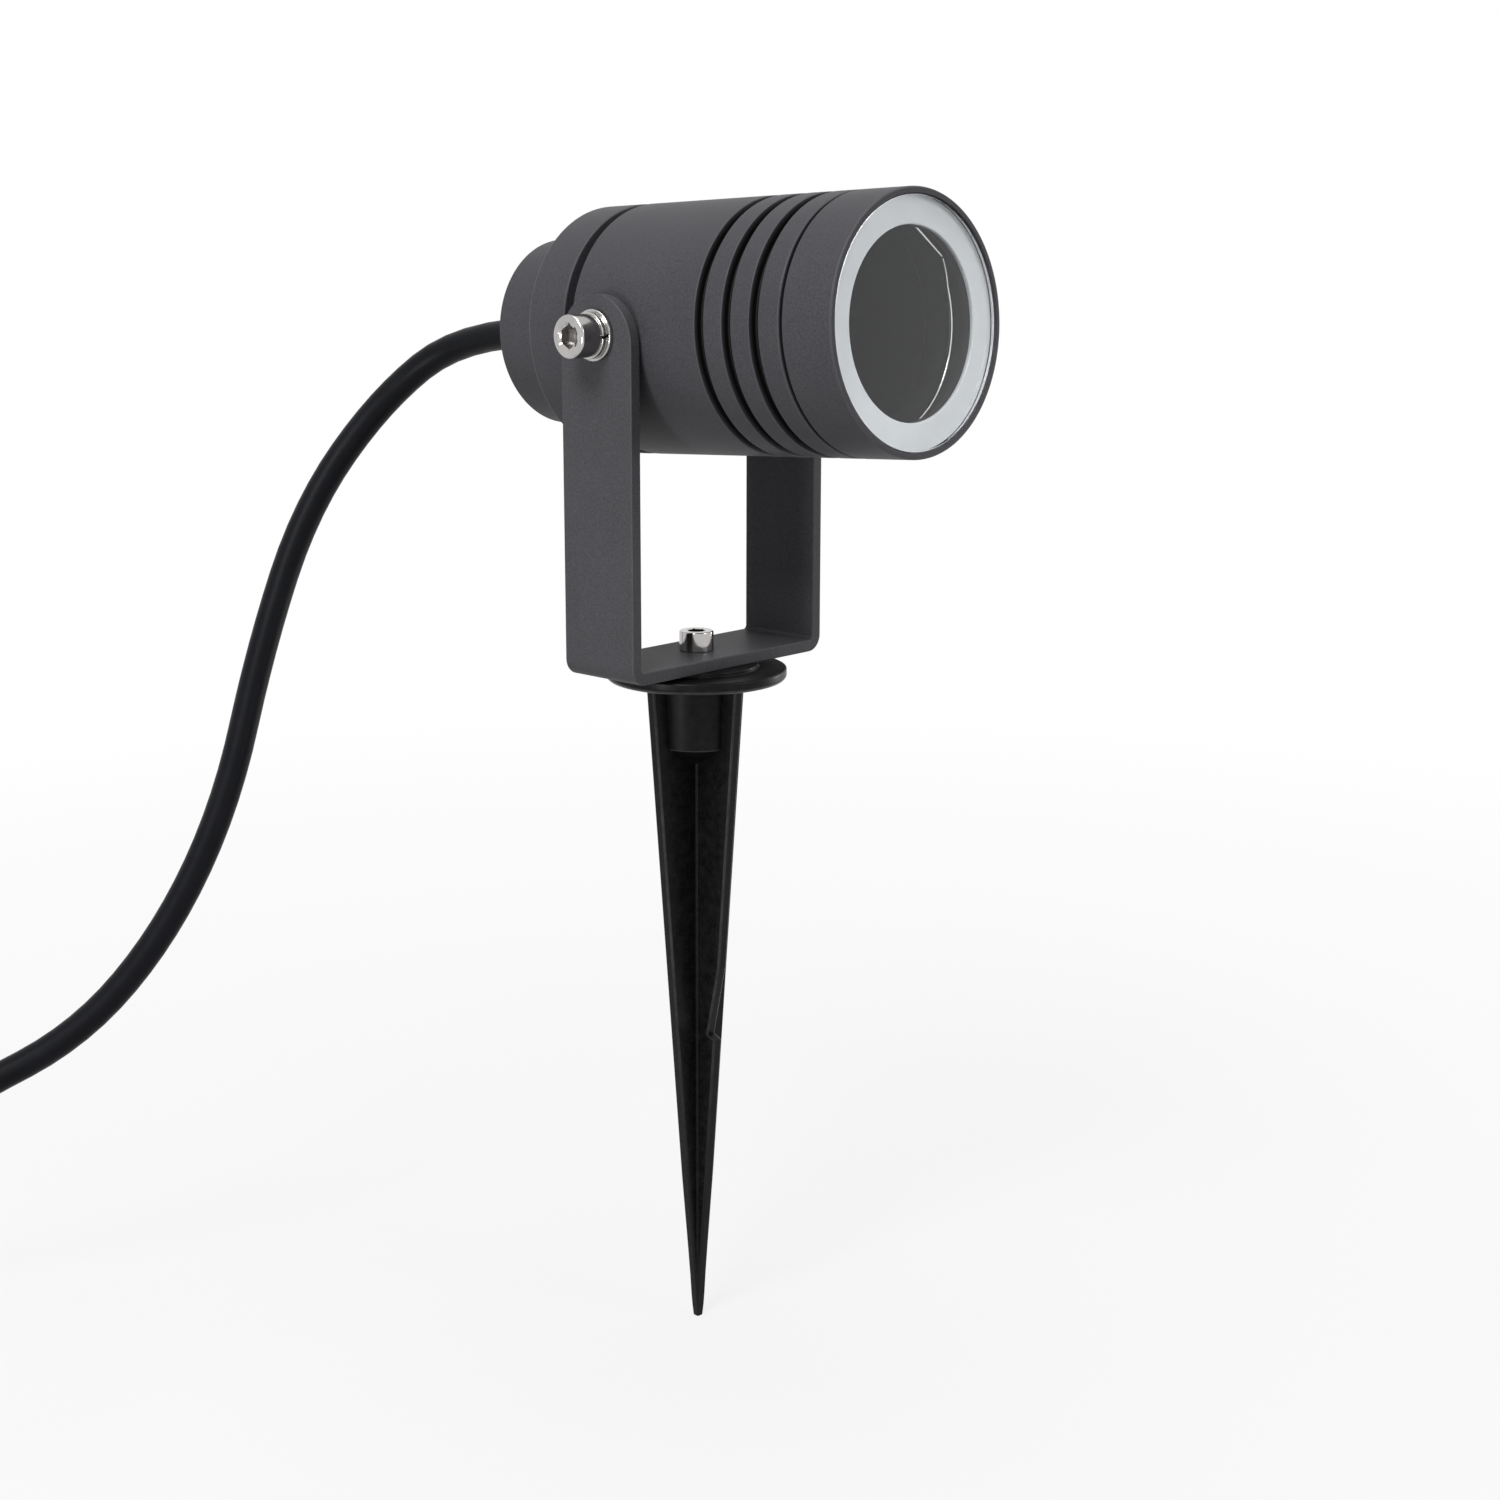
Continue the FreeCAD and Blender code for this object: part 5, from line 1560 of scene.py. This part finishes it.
@dataclass
class CapScrew:
    """A socket head cap screw: local Z out of the head, nought at the head's underside."""

    name: str
    size: ScrewSize
    replaces: str
    body: Body
    place: Matrix
    socket: Finish

    def shell(self) -> Shell:
        """The screw's shape, with its hexagon socket.

        Returns:
            The shell.
        """
        size = self.size
        corner, floor = size.flats / math.sqrt(3), size.height - size.depth
        rings: list[list[Vector]] = []

        def around(radius: float, station: float, six: float = 0.0) -> None:
            """Add a ring that is a circle, or a hexagon where six gives its flats.

            Args:
                radius: the radius, in millimetres.
                station: the place along the axis.
                six: the hexagon's width across its flats.
            """
            ring = []
            for k in range(size.segments):
                angle = FULL_TURN * k / size.segments
                reach = min(radius, hexagon_reach(six, angle)) if six else radius
                ring.append(polar(reach, angle, station))
            rings.append(ring)

        rings.append([Vector((0, 0, -size.length))])
        outline = softened([(0, -size.length), (size.shank, -size.length, 0.6),
                            (size.shank, 0, 0.1), (size.cap, 0, 0.25),
                            (size.cap, size.height, size.round_over),
                            (corner + size.countersink + 0.2, size.height)], 0.1, False)
        for radius, station in outline[1:]:
            around(radius, station)
        around(corner + size.countersink, size.height)
        around(corner, size.height - size.countersink, size.flats)
        around(corner, floor, size.flats)
        around(size.flats * 0.28, floor - 0.01)
        rings.append([Vector((0, 0, floor - 0.7))])
        return Shell.lofted(rings)

    def build(self, bench: Bench) -> None:
        """Make the screw, with painted shade that darkens its socket against its head.

        Args:
            bench: what makes the pieces and dresses the nodes.
        """
        obj = bench.piece(self.name, self.shell(), Palette.stainless, self.body,
                          (self.replaces,), self.place, crease=28)
        back, size = self.place.inverted(), self.size
        corner, floor = size.flats / math.sqrt(3), size.height - size.depth - 1

        def in_socket(spot: Vector, normal: Vector) -> bool:
            """Say yes to the socket's walls and floor.

            Args:
                spot: the face's middle, in millimetres.
                normal: the way it faces; not used.

            Returns:
                True in the socket.
            """
            spot = back @ spot
            return (math.hypot(spot.x, spot.y) < corner + 0.02
                    and floor < spot.z < size.height - size.countersink)

        # Painted shade on the socket's walls and floor.
        bench.partly(obj, self.socket, in_socket)


@dataclass
class Bracket:
    """The bent strip, its clamp screws and their washers."""

    axis: HeadAxis = field(default_factory=HeadAxis)
    inner: float = 30.5
    thickness: float = 3.0
    half_width: float = 11.5
    bend: float = 1.0
    base_low: float = 175.3
    round_centre: float = 254.6
    edge: float = 0.32
    washer_radius: float = 6.0
    washer_thickness: float = 1.2
    spring_radius: float = 5.4
    spring_thickness: float = 1.5
    spring_gap: float = 8.0
    spring_slant: float = 0.07
    spring_steps: int = 108
    screw_hole: float = 3.08
    leg_heights: tuple[float, ...] = (240.0, 220.0, 200.0)
    base_places: tuple[float, ...] = (-15.0, 0.0, 15.0)
    clamp: ScrewSize = ScrewSize(shank=3.0, length=12.0, cap=5.0, height=6.0, flats=5.0,
                                 depth=3.3, round_over=0.55, countersink=0.4)
    pivot: ScrewSize = ScrewSize(shank=2.5, length=14.0, cap=4.25, height=5.0, flats=4.0,
                                 depth=2.8, round_over=0.35, countersink=0.12)

    def stations(self) -> list[tuple[float, Callable[[float], Vector]]]:
        """The strip's stations from one leg's end to the other's.

        Returns:
            For each, half its width and a function from the depth below the strip's inner face
            to the point on its middle line.
        """
        top = self.base_low + self.thickness

        def leg(height: float) -> Callable[[float], Vector]:
            """A station on the left leg."""
            return lambda depth: Vector((-self.inner - depth, 0, height))

        def elbow(turn: float) -> Callable[[float], Vector]:
            """A station on the left bend, turned from the leg towards the base.

            Args:
                turn: the angle turned, in radians.

            Returns:
                A function from the depth to the point.
            """
            middle = Vector((self.bend - self.inner, 0, top + self.bend))
            return lambda depth: middle + Vector((
                -math.cos(turn), 0, -math.sin(turn))) * (self.bend + depth)

        def base(x: float) -> Callable[[float], Vector]:
            """A station on the base."""
            return lambda depth: Vector((x, 0, top - depth))

        side = [(0.0, leg(self.round_centre + self.half_width))]
        for angle in range(87, -1, -3):
            turn = math.radians(angle)
            side.append((self.half_width * math.cos(turn),
                         leg(self.round_centre + self.half_width * math.sin(turn))))
        for height in (*self.leg_heights, top + self.bend):
            side.append((self.half_width, leg(height)))
        for step in range(1, 9):
            side.append((self.half_width, elbow(math.pi / 2 * step / 8)))
        middle = [(self.half_width, base(x)) for x in self.base_places]
        other = [(half, lambda depth, place=place: Vector((-1, 1, 1)) * place(depth))
                 for half, place in reversed(side)]
        return side + middle + other

    def strip(self, bench: Bench) -> None:
        """The bent strip with round ends and soft edges.

        Args:
            bench: what makes the pieces and dresses the nodes.
        """
        profile = softened([(0.0, 0.0), (1.0, 0.0), (1.0, self.thickness), (0.0, self.thickness)],
                           self.edge, False)
        rings = []
        for half, place in self.stations():
            half = max(half, 1e-4)
            row = [(max(half - (1.0 - across), 0.0), depth) for across, depth in profile
                   if across > 0]
            rings.append([place(depth) + Vector((0, reach, 0)) for reach, depth in row]
                         + [place(depth) - Vector((0, reach, 0)) for reach, depth in row[::-1]])
        shell = Shell.lofted(rings, capped=True)
        strip = bench.piece("bent_bracket", shell, Palette.bracket, Body.BRACKET,
                            ("u_bracket",))

        def edge_highlight(spot: Vector, normal: Vector) -> bool:
            """Say yes to the strip's softened edges, which get a painted highlight."""
            return leaning(normal.x if spot.z > self.round_centre else normal.y)

        # Painted highlight on the strip's softened edges.
        bench.partly(strip, Palette.edge_highlight, edge_highlight)

    def flat_washers(self, bench: Bench) -> None:
        """The two flat washers against the legs.

        Args:
            bench: what makes the pieces and dresses the nodes.
        """
        both = Shell()
        outer = self.inner + self.thickness
        for way in (-1, 1):
            ring = Shell.turned([
                (self.screw_hole, 0), (self.washer_radius, 0),
                (self.washer_radius, self.washer_thickness, 0.3),
                (self.screw_hole, self.washer_thickness)], soft=0.12, segments=WASHER_RING)
            both.joined(ring.placed(self.axis.side(way, outer)))
        bench.piece("plain_washers", both, Palette.stainless, Body.BRACKET,
                    ("flat_washers",))

    def spring_washer(self, bench: Bench, way: int, name: str, node: str) -> None:
        """A split spring washer, its slanted split towards the front.

        Args:
            bench: what makes the pieces and dresses the nodes.
            way: -1 for the left side, 1 for the right.
            name: the piece's name.
            node: the CAD node that it stands for.
        """
        seat = self.inner + self.thickness + self.washer_thickness
        gap = math.radians(self.spring_gap)
        corners = softened([(self.screw_hole, 0), (self.spring_radius, 0),
                            (self.spring_radius, self.spring_thickness),
                            (self.screw_hole, self.spring_thickness)], 0.18, True)
        rings = []
        for step in range(self.spring_steps + 1):
            share = step / self.spring_steps
            ring = []
            for radius, height in corners:
                lean = self.spring_slant * (height / self.spring_thickness - 0.5)
                angle = -math.pi / 2 + gap / 2 + (FULL_TURN - gap) * share + lean * way
                ring.append(polar(radius, angle, height))
            rings.append(ring)
        shell = Shell.lofted(rings, capped=True)
        bench.piece(name, shell, Palette.spring, Body.BRACKET, (node,),
                    self.axis.side(way, seat))

    def build(self, bench: Bench) -> None:
        """Make the bracket, its washers and the three screws.

        Args:
            bench: what makes the pieces and dresses the nodes.
        """
        self.strip(bench)
        self.flat_washers(bench)
        seat = self.inner + self.thickness + self.washer_thickness + self.spring_thickness
        for way, hand, body in ((-1, "left", Body.LEFT_SCREW), (1, "right", Body.RIGHT_SCREW)):
            self.spring_washer(bench, way, "split_washer_" + hand, "spring_washer_" + hand)
            CapScrew("clamp_screw_" + hand, self.clamp, "side_screw_" + hand, body,
                     self.axis.side(way, seat), Palette.light_socket_shade).build(bench)
        base = Matrix.Translation((0, 0, self.base_low + self.thickness))
        CapScrew("base_cap_screw", self.pivot, "base_screw", Body.BASE_SCREW, base,
                 Palette.deep_socket_shade).build(bench)


# ---- spike

@dataclass
class GroundSpike:
    """The moulded spike: disc flange, hub, boss and four tapering ribs with two barbs."""

    length: float = 171.2
    reach: float = 15.55
    knee: float = 40.0
    knee_reach: float = 4.56
    tip_reach: float = 0.9
    half_rib: float = 1.35
    tip_half_rib: float = 1.0
    rib_taper: float = 0.0085
    turn: float = 3.9
    notch: float = 78.3
    notch_length: float = 20.0
    notch_depth: float = 2.6
    notch_step: float = 1.0
    flange: float = 22.4
    flange_thickness: float = 3.0
    flange_edge: float = 1.3
    flange_rim: float = 0.5
    hub: float = 15.4
    hub_height: float = 1.1
    boss: float = 11.2
    boss_end: float = 10.5
    boss_length: float = 16.4
    boss_cone: float = 5.0
    boss_tip: float = 2.2
    bore: float = 3.62
    bore_depth: float = 14.8
    round_over: float = 0.5
    fillet: float = 0.6

    def plain_reach(self, height: float) -> float:
        """A rib's reach from the axis at a height.

        Args:
            height: the height, in millimetres.

        Returns:
            The reach, in millimetres.
        """
        if height < self.knee:
            return self.tip_reach + (self.knee_reach - self.tip_reach) * height / self.knee
        share = (height - self.knee) / (self.length - self.knee)
        return self.knee_reach + (self.reach - self.knee_reach) * share

    def barbed_reach(self, height: float) -> float:
        """The reach of a rib that has a barb.

        Args:
            height: the height, in millimetres.

        Returns:
            The reach, in millimetres.
        """
        step = self.plain_reach(self.notch)
        inner = step - self.notch_depth
        top = self.plain_reach(self.notch + self.notch_length)
        if height <= self.notch or height >= self.notch + self.notch_length:
            return self.plain_reach(height)
        if height < self.notch + self.notch_step:
            return step + (inner - step) * (height - self.notch) / self.notch_step
        share = (height - self.notch - self.notch_step) / (self.notch_length - self.notch_step)
        return inner + (top - inner) * share

    def half_thick(self, height: float) -> float:
        """Half a rib's thickness at a height."""
        return min(self.tip_half_rib + self.rib_taper * height, self.half_rib)

    def section(self, height: float) -> list[Vector]:
        """The cross of four ribs at a height, with soft edges and small inner fillets.

        Args:
            height: the height, in millimetres.

        Returns:
            The cross's outline.
        """
        wide, deep = self.plain_reach(height), self.barbed_reach(height)
        half = min(self.half_thick(height), 0.82 * wide)
        corners: list[Corner] = []
        soft = min(self.round_over, half * 0.9)
        fillet = min(self.fillet, max(0.05, (min(wide, deep) - half) * 0.8))
        for x, y in ((1, 0), (0, 1), (-1, 0), (0, -1)):
            arm = wide if x else deep
            out, left = Vector((x, y)), Vector((-y, x))
            for spot, rounding in ((out * arm - left * half, soft), (out * arm + left * half, soft),
                                   (out * half + left * half, fillet)):
                corners.append((spot.x, spot.y, rounding))
        return [Vector((x, y, height)) for x, y in softened(corners, soft, True)]

    def heights(self) -> list[float]:
        """The heights of the ribs' sections, closer together at the barbs.

        Returns:
            The heights, from the tip up.
        """
        plain = [0.0, 0.5, 1.5, 3.0, 6.0, 12.0, 20.0, 30.0, 40.0, 50.0, 60.0, 70.0, 76.0]
        barb = [self.notch - 0.3, self.notch, self.notch + 0.2, self.notch + self.notch_step - 0.15,
                self.notch + self.notch_step, self.notch + self.notch_step + 0.4]
        above = [84.0, 90.0, 95.0, 98.0, 99.0, 105.0, 115.0, 125.0, 135.0, 145.0, 155.0, 165.0,
                 self.length + 1.0]
        return plain + barb + above

    def build(self, bench: Bench) -> None:
        """Make the spike, and dress its insert.

        Args:
            bench: what makes the pieces and dresses the nodes.
        """
        ribs = Shell.lofted([self.section(height) for height in self.heights()], capped=True)
        under, top = self.length, self.length + self.flange_thickness
        face = top + self.hub_height
        disc = Shell.turned([
            (0, under - self.boss_length - self.boss_cone),
            (self.boss_tip, under - self.boss_length - self.boss_cone, 0.5),
            (self.boss_end, under - self.boss_length, 0.7), (self.boss, under, 0.5),
            (self.flange, under, self.flange_edge), (self.flange, top, self.flange_rim),
            (self.hub, top, 0.3), (self.hub, face, 0.3), (self.bore, face, 0.1),
            (self.bore, face - self.bore_depth), (0, face - self.bore_depth)],
            closed=False)
        mesh = bench.carved(disc, ribs.placed(Matrix.Rotation(-math.radians(self.turn), 4, "Z")),
                            Carving.ADD, "moulded_spike")
        spike = bench.piece("moulded_spike", mesh, Palette.spike, Body.SPIKE,
                            ("ground_spike",))
        # Painted highlight on the ribs' corners and the lower edges of the flange and the boss.
        bench.partly(spike, Palette.spike_edge_highlight, self.on_highlit_edge)
        bench.dress(Palette.brass, "spike_insert")

    def on_highlit_edge(self, spot: Vector, normal: Vector) -> bool:
        """Tell whether a face is on an edge that gets the painted highlight.

        Args:
            spot: the middle of the face, in millimetres.
            normal: the way it faces.

        Returns:
            True on the ribs' corners and on the lower edges of the flange and the boss.
        """
        radius = math.hypot(spot.x, spot.y)
        if -0.9 < normal.z < -0.2:
            if radius > self.flange - self.flange_edge:
                return True
            if abs(spot.z - self.length + self.boss_length) < 0.8 and radius > self.boss_end - 0.8:
                return True
        flat = Matrix.Rotation(math.radians(self.turn), 3, "Z") @ spot
        out, across = max(abs(flat.x), abs(flat.y)), min(abs(flat.x), abs(flat.y))
        reach = self.plain_reach if abs(flat.x) > abs(flat.y) else self.barbed_reach
        half = self.half_thick(spot.z)
        return (spot.z < self.length - 0.5 and out > reach(spot.z) - self.round_over
                and across > half - self.round_over)


# ---- making

def main() -> None:
    """Build the studio, the cable and every sub-assembly, and report each."""
    logging.basicConfig(level=logging.INFO, format="%(name)s: %(message)s")
    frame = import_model()
    bench = Bench(frame)
    Studio().build()
    for part in (SupplyLead(), GroundSpike(), Bracket(), LampHead(), FrontBezel()):
        LOG.info("building %s", type(part).__name__)
        part.build(bench)


if __name__ == "__main__":
    main()
